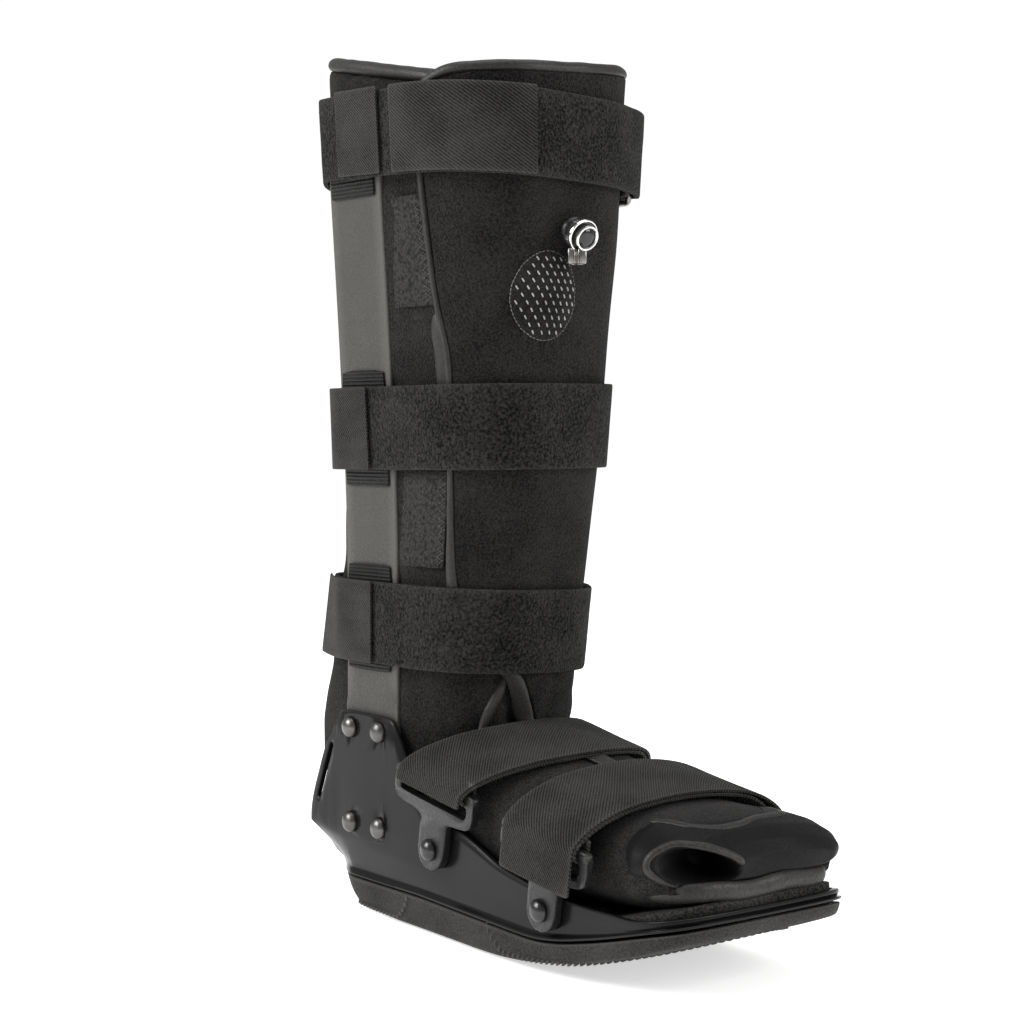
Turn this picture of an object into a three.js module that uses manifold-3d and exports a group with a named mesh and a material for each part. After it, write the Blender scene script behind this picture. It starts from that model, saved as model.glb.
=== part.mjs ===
// Tall walking boot for an injured foot: a rocker sole and a glossy shell with side plates,
// two riveted uprights, a padded liner with a front flap, and straps with rings on the far side.
// Millimetres, +X to the toe, +Y to the left of the boot, +Z up, with the leg's axis at x = 0, y = 0.

import * as THREE from "three";
import { mergeVertices } from "three/addons/utils/BufferGeometryUtils.js";
import Module from "manifold-3d";

const wasm = await Module();
wasm.setup();

// Clearances
const GAP = 0.3; // between pieces that touch
const SOFT_GAP = 0.8; // between padded layers, whose facets bulge towards each other

// Sole and shell
const SOLE_LENGTH = 293.5;
const SOLE_WIDTH = 116; // over the lip at the forefoot
const HEEL_WIDTH = 100; // over the lip at the heel
const HEEL_REACH = 74; // leg axis back to the end of the heel
const TOE_CORNER = 22; // radius of the squared toe's corners in plan
const LIP_HEIGHT = 17.5; // floor to the shell's lip at the heel
const TOE_SPRING = 19; // how far the lip rises to the toe
const TREAD_RISE = 30; // how far the rocker's underside rises to the toe
const HEEL_ROCK = 9; // how far the rocker's underside rises at the heel
const FLAT_BACK = 25; // flat contact patch behind the leg axis
const FLAT_FRONT = 80; // flat contact patch in front of the leg axis
const SHELL_WALL = 3;
const FLOOR_THICK = 3;
const INSOLE_THICK = 7;
const FOLD_HEIGHT = 25; // lip up to the fold under the side plates, at the heel
const FOLD_FALL = 11; // how far the fold comes down on its way forward
const PLATE_TOP = 104.5; // floor to the top of the side plates
const PLATE_X = -19.5; // middle of the side plate
const PLATE_REACH = 51.2; // middle of the side plate back to its rear edge
const FRONT_WALL = 36.7; // side wall above the lip just in front of the plate
const SLOT_LENGTH = 33;
const SLOT_WIDTH = 3.4;

// Liner
const RIM_HEIGHT = 430; // floor to the top of the rim's binding over the leg's axis
const RIM_TILT = 0.2; // the rim rises to the back by this share of the distance
const LEG_DEPTH = 157.4; // front to back at the top
const LEG_WIDTH_LOW = 90.8; // between the uprights at the ankle
const LEG_WIDTH_TOP = 118;
const LEG_SQUARENESS = 3; // exponent of the leg's rounded section
const LINER_WALL = 8;
const FLAP_THICK = 3.6;
const TOE_HALF = 53; // half width of the liner's forefoot
const TOE_END = 213; // leg axis to the liner's toe
const INSTEP_TOP = 101; // floor to the top of the foot at the ankle fold
const TOE_TOP = 77; // floor to the top of the liner's toe
const BINDING_RISE = 5.6; // the rim's binding above the liner's own edge

// Uprights and rivets
const UPRIGHT_WIDTH = 44;
const UPRIGHT_THICK = 3;
const UPRIGHT_X = -18; // middle of the upright
const UPRIGHT_FOOT = 41;
const UPRIGHT_TOP = 408;
const UPRIGHT_ROUND = 10;
const PAD_WIDTH = 37;
const PAD_THICK = 1.2;
const PAD_OVER = 8.5; // how far a pad shows above and below its strap
const RIVET_HEAD = 5.5; // radius
const RIVET_DOME = 3.3;
const RIVET_SHANK = 2.4; // radius
const RIVET_SPACING = 25;
const RIVET_HIGH = 96.2;
const RIVET_LOW = 47.1;

// Leg straps
const STRAP_WIDTH = 41.5;
const STRAP_THICK = 2.8;
const TAB_THICK = 1.2;
const TOP_STRAP_LOW = 371.2; // floor to the strap's lower edge over the leg's axis
const MIDDLE_STRAP_LOW = 229.6;
const LOW_STRAP_LOW = 129.4;
const LEG_STRAPS = [
  // low: height of the lower edge at the leg's axis; lean: rise per mm to the toe and to
  // the left; ring: how far forward of the leg axis the far ring sits
  { name: "top", low: TOP_STRAP_LOW, leanX: -0.03, leanY: -0.043, ring: 58 },
  { name: "middle", low: MIDDLE_STRAP_LOW, leanX: 0.008, leanY: 0.008, ring: 32 },
  { name: "low", low: LOW_STRAP_LOW, leanX: -0.01, leanY: -0.03, ring: 19 },
];
const STRAP_START = -100; // along the strap from the right upright's middle, so this is behind it
const HOOK_TAB_START = -60;
const HOOK_TAB_END = 10;
const WEBBING_TAB_START = -2;
const WEBBING_TAB_END = 33;
const WEBBING_PANEL_START = 44;
const WEBBING_PANEL_END = 117;
const RING_WIRE = 1.9; // radius
const RING_TALL = 49;
const RING_SLOT = 8; // between the ring's two long bars
const FOLD_BACK = 22; // length of strap turned back inside the ring

// Foot straps and their loops
const FOOT_STRAP_WIDTH = 50;
const WEB_THICK = 1.6;
const LAYER_GAP = 0.4;
const LOOP_THICK = 5;
const LOOP_TAB = 10; // radius of the riveted end
const LOOP_WIDTH = 63;
const LOOP_BAR = 34; // rivet to the strap's bar
const LOOP_BAR_HALF = 2;
const LOOP_SLOT = 8.6;
const LOOP_STEP = 2.6; // the ring half stands this far proud of the tab
const FOOT_STRAPS = [
  // x, z: place of its rivets; lean: degrees forward; crest: middle of the strap at the top of the
  // foot; drop: length of the free end
  { name: "instep", x: 43, z: 44.6, lean: 10, crest: 80, drop: 5 },
  { name: "forefoot", x: 132.5, z: 31.5, lean: 8, crest: 140, drop: 20 },
];

// Air pump and valve
const PUMP_RADIUS = 22.2;
const PUMP_Y = -15;
const PUMP_Z = 311.7;
const VALVE_Y = -3;
const VALVE_Z = 346.5;
const VALVE_AIM = new THREE.Vector3(0.915, -0.05, -0.4).normalize();
const VALVE_BASE = 7; // radius
const VALVE_BARREL = 7.6; // radius
const VALVE_FLANGE = 8.2; // radius
const VALVE_CROWN = 6.3; // radius
const VALVE_NOZZLE = 4.5; // radius
const NOZZLE_DROP = 15.5; // valve's axis down to the nozzle's end

const finish = (color, roughness, metalness = 0) =>
  new THREE.MeshStandardMaterial({ color, roughness, metalness });
const RUBBER = finish(0x33312f, 0.85);
const SHELL = finish(0x1b1a19, 0.22);
const FOAM = finish(0x5b5855, 0.9);
const UPRIGHT = finish(0x5a5653, 0.55);
const STEEL = finish(0x8d8a86, 0.3, 0.9);
const BLACK_STEEL = finish(0x2a2928, 0.25, 0.4);
const MOULDED = finish(0x3d3b39, 0.45);
const PILE = finish(0x1e1d1c, 1);
const HOOK_TAPE = finish(0x55514e, 0.8);
const WEBBING = finish(0x474442, 0.8);
const FABRIC = finish(0x242322, 0.95);
const BINDING = finish(0x4a4542, 0.6);
const MESH = finish(0x2e2c2b, 0.9);
const CHROME = finish(0xd8d8d8, 0.12, 1);

const clamp = THREE.MathUtils.clamp;
const lerp = THREE.MathUtils.lerp;
const radians = THREE.MathUtils.degToRad;
const smooth = (t) => THREE.MathUtils.smoothstep(t, 0, 1);

const boot = new THREE.Group();

function piece(name, geometry, material) {
  const mesh = new THREE.Mesh(geometry, material);
  mesh.name = name;
  boot.add(mesh);
  return mesh;
}

// Value of a table's column at a place between its rows
function lookUp(rows, key, column, place) {
  const last = rows.length - 1;
  if (place <= rows[0][key]) return rows[0][column];
  for (let i = 0; i < last; i++) {
    const [from, to] = [rows[i], rows[i + 1]];
    if (place <= to[key]) return lerp(from[column], to[column], (place - from[key]) / (to[key] - from[key]));
  }
  return rows[last][column];
}

// Closed body through rings of points. Paired ends join point k to its mirror n - k, for outlines
// that start on the middle line; otherwise k joins n - 1 - k, for slabs and convex sections.
function skin(rings, { closed = false, paired = false } = {}) {
  const n = rings[0].length;
  const faces = [];
  const spans = closed ? rings.length : rings.length - 1;
  for (let i = 0; i < spans; i++) {
    const here = i * n;
    const next = ((i + 1) % rings.length) * n;
    for (let j = 0; j < n; j++) {
      const k = (j + 1) % n;
      faces.push([here + j, here + k, next + k], [here + j, next + k, next + j]);
    }
  }
  const cap = (start, flip) => {
    const push = (a, b, c) => {
      if (a !== b && b !== c && c !== a) faces.push(flip ? [a, c, b] : [a, b, c]);
    };
    const mirror = (k) => start + (paired ? (n - k) % n : n - 1 - k);
    for (let k = 0; k < Math.floor((paired ? n : n - 1) / 2); k++) {
      push(start + k, mirror(k), start + k + 1);
      push(start + k + 1, mirror(k), mirror(k + 1));
    }
  };
  if (!closed) {
    cap(0, false);
    cap((rings.length - 1) * n, true);
  }
  const points = rings.flat();
  let volume = 0;
  const normal = new THREE.Vector3();
  for (const [a, b, c] of faces) volume += points[a].dot(normal.crossVectors(points[b], points[c]));
  const geometry = new THREE.BufferGeometry().setFromPoints(points);
  geometry.setIndex(faces.flatMap(([a, b, c]) => (volume > 0 ? [a, b, c] : [a, c, b])));
  return geometry;
}

function toSolid(geometry, matrix = new THREE.Matrix4()) {
  const bare = geometry.clone().applyMatrix4(matrix);
  bare.deleteAttribute("normal");
  bare.deleteAttribute("uv");
  const merged = mergeVertices(bare, 1e-4);
  return new wasm.Manifold(
    new wasm.Mesh({
      numProp: 3,
      vertProperties: new Float32Array(merged.attributes.position.array),
      triVerts: new Uint32Array(merged.index.array),
    }),
  );
}

function toGeometry(solid) {
  const mesh = solid.getMesh();
  const geometry = new THREE.BufferGeometry();
  geometry.setAttribute("position", new THREE.BufferAttribute(new Float32Array(mesh.vertProperties), 3));
  geometry.setIndex(new THREE.BufferAttribute(new Uint32Array(mesh.triVerts), 1));
  return geometry;
}

const placed = (x, y, z, turn = new THREE.Quaternion()) =>
  new THREE.Matrix4().compose(new THREE.Vector3(x, y, z), turn, new THREE.Vector3(1, 1, 1));

// Sole outline. Distances along the boot are measured from the leg's axis.
const heelRadius = HEEL_WIDTH / 2;
const heelCentre = heelRadius - HEEL_REACH;
const toeTip = SOLE_LENGTH - HEEL_REACH;
const toeCentre = toeTip - TOE_CORNER;
const soleHalf = SOLE_WIDTH / 2;
const plateHalf = LEG_WIDTH_LOW / 2 + GAP + UPRIGHT_THICK + GAP + SHELL_WALL;
const plateRear = PLATE_X - PLATE_REACH;
const plateFront = PLATE_X + 1.26 * PLATE_REACH;
const WALL_INSET = 1.2; // the wall stands this far inside the lip at the forefoot

// The lip from heel to toe: along is a share of SOLE_LENGTH, rise of TOE_SPRING
const LIP_LINE = [
  { along: 0, rise: 0 },
  { along: 0.35, rise: 0.03 },
  { along: 0.52, rise: -0.03 },
  { along: 0.64, rise: -0.09 },
  { along: 0.68, rise: -0.1 },
  { along: 0.736, rise: 0.02 },
  { along: 0.828, rise: 0.33 },
  { along: 0.923, rise: 0.72 },
  { along: 1, rise: 1 },
];
const lipLevel = (x) =>
  LIP_HEIGHT + TOE_SPRING * lookUp(LIP_LINE, "along", "rise", (x + HEEL_REACH) / SOLE_LENGTH);
const floorLevel = (x) => lipLevel(x) + FLOOR_THICK;
function treadLevel(x) {
  if (x < -FLAT_BACK) return HEEL_ROCK * ((-FLAT_BACK - x) / (HEEL_REACH - FLAT_BACK)) ** 3;
  return x > FLAT_FRONT ? TREAD_RISE * ((x - FLAT_FRONT) / (toeTip - FLAT_FRONT)) ** 1.88 : 0;
}
const lipHalf = (x) => lerp(heelRadius, soleHalf, smooth((x - heelCentre) / (126 - heelCentre)));
const wallHalf = (x) => lerp(plateHalf, soleHalf - WALL_INSET, smooth((x - plateFront) / (145 - plateFront)));

// Top edge of the side plate: across is a share of PLATE_REACH from the plate's middle, up a
// share of the plate's height above the fold
const PLATE_EDGE = [
  { across: -1, up: 0.04 },
  { across: -0.955, up: 0.198 },
  { across: -0.82, up: 0.46 },
  { across: -0.686, up: 0.713 },
  { across: -0.586, up: 0.79 },
  { across: -0.518, up: 0.895 },
  { across: -0.469, up: 0.956 },
  { across: -0.4, up: 1 },
  { across: 0.4, up: 1 },
  { across: 0.478, up: 0.968 },
  { across: 0.537, up: 0.895 },
  { across: 0.635, up: 0.766 },
  { across: 0.734, up: 0.631 },
  { across: 0.869, up: 0.476 },
  { across: 1.025, up: 0.37 },
  { across: 1.26, up: 0.29 },
];
// Side wall in front of the plate: along is a share of the run to the toe, up of FRONT_WALL
const FRONT_EDGE = [
  { along: 0, up: 1.13 },
  { along: 0.115, up: 1.01 },
  { along: 0.275, up: 0.75 },
  { along: 0.4, up: 0.67 },
  { along: 0.464, up: 0.63 },
  { along: 0.556, up: 0.53 },
  { along: 0.69, up: 0.37 },
  { along: 0.82, up: 0.19 },
  { along: 0.917, up: 0.14 },
  { along: 1, up: 0.125 },
];

// Stations round the right half of the shell, from the middle of the heel to the middle of the toe.
// Each holds its point on the lip and on the wall, and the fold's and the top edge's heights.
function shellStations() {
  const stations = [];
  const foldLevel = (x) => {
    const forward = smooth((x - plateRear) / (plateFront + 20 - plateRear));
    return lipLevel(x) + FOLD_HEIGHT - FOLD_FALL * forward;
  };
  const plateLevel = (x, up) => lerp(foldLevel(x), PLATE_TOP, up);
  const rearReach = heelCentre - (plateRear - 7.3);
  for (const degrees of [0, 14, 26, 36, 43]) {
    const angle = radians(degrees);
    const [c, s] = [Math.cos(angle), Math.sin(angle)];
    const wall = ((c / rearReach) ** 9 + (s / plateHalf) ** 9) ** (-1 / 9);
    stations.push({
      lip: [heelCentre - heelRadius * c, heelRadius * s],
      wall: [heelCentre - wall * c, wall * s],
      fold: foldLevel(plateRear),
      top: plateLevel(plateRear, PLATE_EDGE[0].up),
    });
  }
  for (const { across, up } of PLATE_EDGE) {
    const x = PLATE_X + across * PLATE_REACH;
    const angle = radians(lerp(47, 90, clamp((x - plateRear) / (heelCentre - plateRear), 0, 1)));
    const onHeel = x < heelCentre;
    const lip = onHeel
      ? [heelCentre - heelRadius * Math.cos(angle), heelRadius * Math.sin(angle)]
      : [x, lipHalf(x)];
    const wallY = across === -1 ? plateHalf - 0.8 : plateHalf;
    stations.push({ lip, wall: [x, wallY], fold: foldLevel(x), top: plateLevel(x, up) });
  }
  const run = toeTip - plateFront;
  const front = (x, lip, wall) => {
    const above = FRONT_WALL * lookUp(FRONT_EDGE, "along", "up", (x - plateFront) / run);
    const top = lipLevel(x) + above;
    const fold = Math.min(foldLevel(x), lerp(lipLevel(x), top, 0.72));
    stations.push({ lip, wall, fold, top });
  };
  for (const share of [0.06, 0.115, 0.2, 0.275, 0.34, 0.4, 0.464, 0.556, 0.62, 0.69, 0.76, 0.82]) {
    const x = plateFront + share * run;
    front(x, [x, lipHalf(x)], [x, wallHalf(x)]);
  }
  const corner = TOE_CORNER - WALL_INSET;
  for (const degrees of [90, 62, 34, 6]) {
    const angle = radians(degrees);
    const [c, s] = [Math.cos(angle), Math.sin(angle)];
    const x = toeCentre + TOE_CORNER * c;
    const lip = [x, soleHalf - TOE_CORNER * (1 - s)];
    front(x, lip, [toeCentre + corner * c, soleHalf - TOE_CORNER + corner * s]);
  }
  front(toeTip, [toeTip + 1, 0], [toeTip + 1 - WALL_INSET, 0]);
  return stations;
}
const STATIONS = shellStations();

// Whole outline in plan, from the heel's middle along the right side, round the toe and back.
// blend 0 follows the lip and 1 the wall; inset, a length or a function of x, moves it inwards.
function outline(blend, inset, level) {
  const half = STATIONS.map((station) => ({
    x: lerp(station.lip[0], station.wall[0], blend),
    y: -lerp(station.lip[1], station.wall[1], blend),
    station,
  }));
  const points = half.map(({ x, y, station }, i) => {
    const before = half[Math.max(i - 1, 0)];
    const after = half[Math.min(i + 1, half.length - 1)];
    const ends = i === 0 || i === half.length - 1;
    const [dx, dy] = ends ? [0, i === 0 ? -1 : 1] : [after.x - before.x, after.y - before.y];
    const push = (typeof inset === "number" ? inset : inset(x)) / Math.hypot(dx, dy);
    const px = x - dy * push;
    return new THREE.Vector3(px, y + dx * push, level(px, station));
  });
  const back = points.slice(1, -1).reverse();
  return [...points, ...back.map((p) => new THREE.Vector3(p.x, -p.y, p.z))];
}

function shell() {
  const step = (share) => (x, s) => lerp(lipLevel(x) + 1.6, s.fold, share);
  const body = skin(
    [
      outline(0, 1.4, (x) => lipLevel(x)),
      outline(0, 0, (x) => lipLevel(x) + 0.7),
      outline(0, 0, (x) => lipLevel(x) + 1.6),
      outline(0.12, 2, step(0.14)),
      outline(0.42, 1.2, step(0.48)),
      outline(0.8, 0.5, step(0.82)),
      outline(1, 0, step(1)),
      outline(1, 0.2, (x, s) => s.top),
      outline(1, SHELL_WALL, (x, s) => s.top),
      outline(1, SHELL_WALL, (x, s) => Math.max(s.fold + 0.5, floorLevel(x) + 0.3)),
      outline(0.3, SHELL_WALL + 1.7, (x) => floorLevel(x)),
    ],
    { paired: true },
  );
  let solid = toSolid(body);
  const slotShape = new THREE.Shape();
  slotShape.absarc(0, SLOT_LENGTH / 2 - SLOT_WIDTH / 2, SLOT_WIDTH / 2, 0, Math.PI);
  slotShape.absarc(0, SLOT_WIDTH / 2 - SLOT_LENGTH / 2, SLOT_WIDTH / 2, Math.PI, 2 * Math.PI);
  const slot = new THREE.ExtrudeGeometry(slotShape, { depth: 3 * plateHalf, bevelEnabled: false, curveSegments: 5 });
  const upright = new THREE.Quaternion().setFromEuler(new THREE.Euler(Math.PI / 2, 0, 0));
  const tilt = new THREE.Quaternion().setFromAxisAngle(new THREE.Vector3(0, 1, 0), radians(22.5));
  const slotX = PLATE_X - 0.705 * PLATE_REACH;
  const slotZ = lerp(FOLD_HEIGHT + LIP_HEIGHT, PLATE_TOP, 0.46);
  solid = solid.subtract(toSolid(slot, placed(slotX, 1.5 * plateHalf, slotZ, tilt.multiply(upright))));
  for (const rivet of RIVETS) solid = solid.subtract(rivetHole(rivet));
  return toGeometry(solid);
}

function outsole() {
  const heel = (x) => smooth((-5 - x) / 55);
  return skin(
    [
      outline(0, (x) => 4.5 + 8.5 * heel(x), (x) => treadLevel(x)),
      outline(0, (x) => 2.2 + 5 * heel(x), (x) => treadLevel(x) + 1.6 + heel(x)),
      outline(0, (x) => 1.2 + 1.4 * heel(x), (x) => lerp(treadLevel(x), lipLevel(x), 0.5)),
      outline(0, 0.8, (x) => lipLevel(x) - 1.2),
      outline(0, 1.8, (x) => lipLevel(x) - GAP),
    ],
    { paired: true },
  );
}

function insole() {
  const rim = SHELL_WALL + 1.7 + 2 * GAP;
  return skin(
    [
      outline(0.3, rim, (x) => floorLevel(x) + GAP),
      outline(0.3, rim, (x) => floorLevel(x) + INSOLE_THICK - 1),
      outline(0.3, rim + 1, (x) => floorLevel(x) + INSOLE_THICK),
    ],
    { paired: true },
  );
}
const bedLevel = (x) => floorLevel(x) + INSOLE_THICK + GAP;

// Leg of the liner: up is a share of its height above the bed, centre and depth are shares of
// LEG_DEPTH, width is a share of LEG_WIDTH_LOW and flare of what LEG_WIDTH_TOP adds to it
const LEG_SECTIONS = [
  { up: 0, centre: -0.089, depth: 0.318, width: 0.79, flare: 0 },
  { up: 0.013, centre: -0.095, depth: 0.35, width: 0.9, flare: 0 },
  { up: 0.041, centre: -0.108, depth: 0.362, width: 0.98, flare: 0 },
  { up: 0.058, centre: -0.124, depth: 0.391, width: 1, flare: 0 },
  { up: 0.078, centre: -0.148, depth: 0.415, width: 1, flare: 0 },
  { up: 0.115, centre: -0.16, depth: 0.44, width: 1, flare: 0 },
  { up: 0.165, centre: -0.146, depth: 0.46, width: 1, flare: 0 },
  { up: 0.202, centre: -0.122, depth: 0.464, width: 1, flare: 0 },
  { up: 0.301, centre: -0.072, depth: 0.438, width: 1, flare: 0 },
  { up: 0.395, centre: -0.038, depth: 0.449, width: 1, flare: 0 },
  { up: 0.487, centre: -0.01, depth: 0.466, width: 1, flare: 0.066 },
  { up: 0.648, centre: 0.01, depth: 0.473, width: 1, flare: 0.324 },
  { up: 0.774, centre: 0.019, depth: 0.5, width: 1, flare: 0.566 },
  { up: 0.851, centre: 0.025, depth: 0.5, width: 1, flare: 0.728 },
  { up: 1, centre: 0.032, depth: 0.5, width: 1, flare: 1 },
];
const legBed = bedLevel(0);
const legRun = RIM_HEIGHT - legBed;
const legUp = (z) => (z - legBed) / legRun;
const legColumn = (z, column) => lookUp(LEG_SECTIONS, "up", column, clamp(legUp(z), 0, 1));
const legHalfWidth = (z) =>
  (legColumn(z, "width") * LEG_WIDTH_LOW + legColumn(z, "flare") * (LEG_WIDTH_TOP - LEG_WIDTH_LOW)) / 2;

// Under the flap the liner is thinner, from its near edge round to its far one
const settled = (degrees) => FLAP_THICK * smooth((degrees + 65) / 30) * smooth((95 - degrees) / 15);

// Point on the leg at an angle, 0 at the front and -90 on the right, grown outwards
function legPoint(degrees, z, grow = 0) {
  const angle = radians(degrees);
  const power = 2 / LEG_SQUARENESS;
  const [c, s] = [Math.cos(angle), Math.sin(angle)];
  const out = grow - settled(degrees);
  const depth = legColumn(z, "depth") * LEG_DEPTH + out;
  const width = legHalfWidth(z) + out;
  const x = legColumn(z, "centre") * LEG_DEPTH + depth * Math.sign(c) * Math.abs(c) ** power;
  return new THREE.Vector3(x, width * Math.sign(s) * Math.abs(s) ** power, z);
}

// Point on the front of the leg at a given distance to the left, for what is sewn on there
function frontPoint(y, z, grow = 0) {
  const out = grow - FLAP_THICK;
  const width = legHalfWidth(z) + out;
  const depth = legColumn(z, "depth") * LEG_DEPTH + out;
  const share = 1 - Math.abs(y / width) ** LEG_SQUARENESS;
  return new THREE.Vector3(legColumn(z, "centre") * LEG_DEPTH + depth * share ** (1 / LEG_SQUARENESS), y, z);
}

const rimLevel = (x) => RIM_HEIGHT - BINDING_RISE - RIM_TILT * Math.max(x, -60);

function legRing(z, grow, count = 32) {
  return Array.from({ length: count }, (_, i) => legPoint(180 - (i * 360) / count, z, grow));
}

// Foot of the liner: along is a share of the run from behind the ankle to the toe's end, half a
// share of TOE_HALF, top of the way from the toe's top up to the instep, low lifts the sole
const FOOT_SECTIONS = [
  { along: 0, half: 0.79, top: 0.8, low: 4 },
  { along: 0.13, half: 0.845, top: 0.95, low: 0 },
  { along: 0.25, half: 0.9, top: 1, low: 0 },
  { along: 0.354, half: 0.92, top: 0.97, low: 0 },
  { along: 0.458, half: 0.93, top: 0.8, low: 0 },
  { along: 0.563, half: 0.95, top: 0.52, low: 0 },
  { along: 0.688, half: 0.97, top: 0.16, low: 0 },
  { along: 0.79, half: 0.98, top: 0.04, low: 0 },
  { along: 0.864, half: 0.98, top: 0.02, low: 0 },
  { along: 0.926, half: 0.97, top: -0.03, low: 0.2 },
  { along: 0.963, half: 0.93, top: -0.16, low: 0.8 },
  { along: 0.985, half: 0.86, top: -0.36, low: 2.4 },
  { along: 1, half: 0.74, top: -0.6, low: 5 },
];
const FOOT_BACK = -30;
const footX = (along) => lerp(FOOT_BACK, TOE_END, along);
const footColumn = (x, column) =>
  lookUp(FOOT_SECTIONS, "along", column, (x - FOOT_BACK) / (TOE_END - FOOT_BACK));
const footTop = (x) => lerp(TOE_TOP, INSTEP_TOP, footColumn(x, "top"));

const FOOT_SQUARENESS = 2.3;

function footRing(x, grow, count = 24) {
  const half = footColumn(x, "half") * TOE_HALF + grow;
  const top = footTop(x) + grow;
  const low = bedLevel(x) + footColumn(x, "low") - grow;
  const [middle, rise] = [(top + low) / 2, (top - low) / 2];
  return Array.from({ length: count }, (_, i) => {
    const angle = (i * 2 * Math.PI) / count;
    const [c, s] = [Math.cos(angle), Math.sin(angle)];
    const power = 2 / FOOT_SQUARENESS;
    const y = half * Math.sign(c) * Math.abs(c) ** power;
    return new THREE.Vector3(x, y, middle + rise * Math.sign(s) * Math.abs(s) ** power);
  });
}

// Height of the liner's foot at a place in plan
function footHeight(x, y) {
  const half = footColumn(x, "half") * TOE_HALF;
  const low = bedLevel(x) + footColumn(x, "low");
  const share = clamp(1 - Math.abs(y / half) ** FOOT_SQUARENESS, 0, 1) ** (1 / FOOT_SQUARENESS);
  return (footTop(x) + low) / 2 + ((footTop(x) - low) / 2) * share;
}

const TOE_SLOT = { back: 176, low: 54.5, high: 69.5, half: 45 };

function liner() {
  const heights = LEG_SECTIONS.map(({ up }) => legBed + up * legRun);
  const outer = heights.map((z) => legRing(z, 0));
  for (const point of outer[outer.length - 1]) point.z = rimLevel(point.x);
  const hollow = [legRing(legBed + LINER_WALL, -LINER_WALL - 6)];
  for (const i of [3, 5, 7, 8, 10, 12, 14]) hollow.push(legRing(heights[i], -LINER_WALL));
  hollow.push(legRing(RIM_HEIGHT, -LINER_WALL).map((p) => p.setZ(RIM_HEIGHT + 40)));
  const footOuter = FOOT_SECTIONS.map(({ along }) => footRing(footX(along), 0));
  const footInner = [0, 2, 4, 6, 8, 9].map((i) => footRing(footX(FOOT_SECTIONS[i].along), -LINER_WALL));
  const slot = new THREE.Shape();
  const slotRound = (TOE_SLOT.high - TOE_SLOT.low) / 2;
  slot.absarc(TOE_SLOT.half - slotRound, 0, slotRound, -Math.PI / 2, Math.PI / 2);
  slot.absarc(slotRound - TOE_SLOT.half, 0, slotRound, Math.PI / 2, (3 * Math.PI) / 2);
  const mouth = new THREE.ExtrudeGeometry(slot, {
    depth: TOE_END + 20 - TOE_SLOT.back,
    bevelEnabled: false,
    curveSegments: 6,
  });
  const [ahead, left, up] = [new THREE.Vector3(1, 0, 0), new THREE.Vector3(0, 1, 0), new THREE.Vector3(0, 0, 1)];
  const mouthPlace = new THREE.Matrix4().makeBasis(left, up, ahead);
  mouthPlace.setPosition(TOE_SLOT.back, 0, (TOE_SLOT.low + TOE_SLOT.high) / 2);
  return toGeometry(
    toSolid(skin(outer))
      .add(toSolid(skin(footOuter)))
      .subtract(toSolid(skin(hollow)))
      .subtract(toSolid(skin(footInner)))
      .subtract(toSolid(mouth, mouthPlace)),
  );
}

// Soft cover that closes the toe's mouth from inside, drawn back at the right: across is a share of
// the mouth's half width, back how far it stands behind the toe's end and lean how far its top does
const TOE_COVER = [
  { across: -0.72, back: 27, lean: 3 },
  { across: -0.62, back: 18, lean: 4 },
  { across: -0.48, back: 12, lean: 6 },
  { across: -0.25, back: 8.5, lean: 7 },
  { across: 0, back: 7, lean: 7 },
  { across: 0.35, back: 7, lean: 7 },
  { across: 0.62, back: 8.5, lean: 6 },
  { across: 0.8, back: 12, lean: 5 },
];
function toeCover() {
  const rows = TOE_COVER.map(({ across, back, lean }) => {
    const x = TOE_END - back;
    const y = across * TOE_SLOT.half;
    return {
      a: new THREE.Vector3(x, y, TOE_SLOT.low + 1),
      b: new THREE.Vector3(x - lean, y, TOE_SLOT.high - 1),
    };
  });
  return sheet(rows, 2);
}

// Left and right edges of the front flap: up is a share of the leg's height, near and far angles,
// and roll the width of the binding along the near edge
const FLAP_EDGES = [
  { up: 0.2, near: -4, far: 62, roll: 8 },
  { up: 0.23, near: -12, far: 66, roll: 8 },
  { up: 0.26, near: -27, far: 70, roll: 8 },
  { up: 0.3, near: -42, far: 74, roll: 7.5 },
  { up: 0.36, near: -53, far: 77, roll: 6 },
  { up: 0.44, near: -58, far: 79, roll: 3.2 },
  { up: 0.52, near: -60, far: 80, roll: 3 },
  { up: 0.61, near: -60, far: 80, roll: 3 },
  { up: 0.655, near: -62, far: 80, roll: 3 },
  { up: 0.706, near: -68, far: 80, roll: 3 },
  { up: 0.775, near: -71, far: 80, roll: 3 },
  { up: 0.84, near: -73.5, far: 80, roll: 3.2 },
  { up: 0.92, near: -74.5, far: 80, roll: 4 },
  { up: 0.95, near: -74, far: 80, roll: 5 },
  { up: 0.963, near: -71, far: 79, roll: 5 },
  { up: 0.972, near: -65, far: 77, roll: 5 },
  { up: 0.977, near: -56, far: 73, roll: 5 },
];
const flapEdge = (z, side) => lookUp(FLAP_EDGES, "up", side, legUp(z));
const FLAP_IN = SOFT_GAP + 0.5;
const FLAP_OUT = FLAP_IN + FLAP_THICK;

// The flap's top climbs to the left
function lifted(point) {
  const share = smooth((legUp(point.z) - 0.87) / 0.1);
  return point.setZ(point.z + share * point.y * (point.y < 0 ? 0.04 : 0.085));
}

// Slab that follows the leg between two edges: rows of heights, each a ring out and back
function legSlab(rows, inner, outer, columns) {
  return skin(
    rows.map(({ z, near, far }) => {
      const angles = Array.from({ length: columns + 1 }, (_, i) => lerp(near, far, i / columns));
      const front = angles.map((angle) => lifted(legPoint(angle, z, outer)));
      const back = angles.reverse().map((angle) => lifted(legPoint(angle, z, inner)));
      return [...front, ...back];
    }),
  );
}

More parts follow.
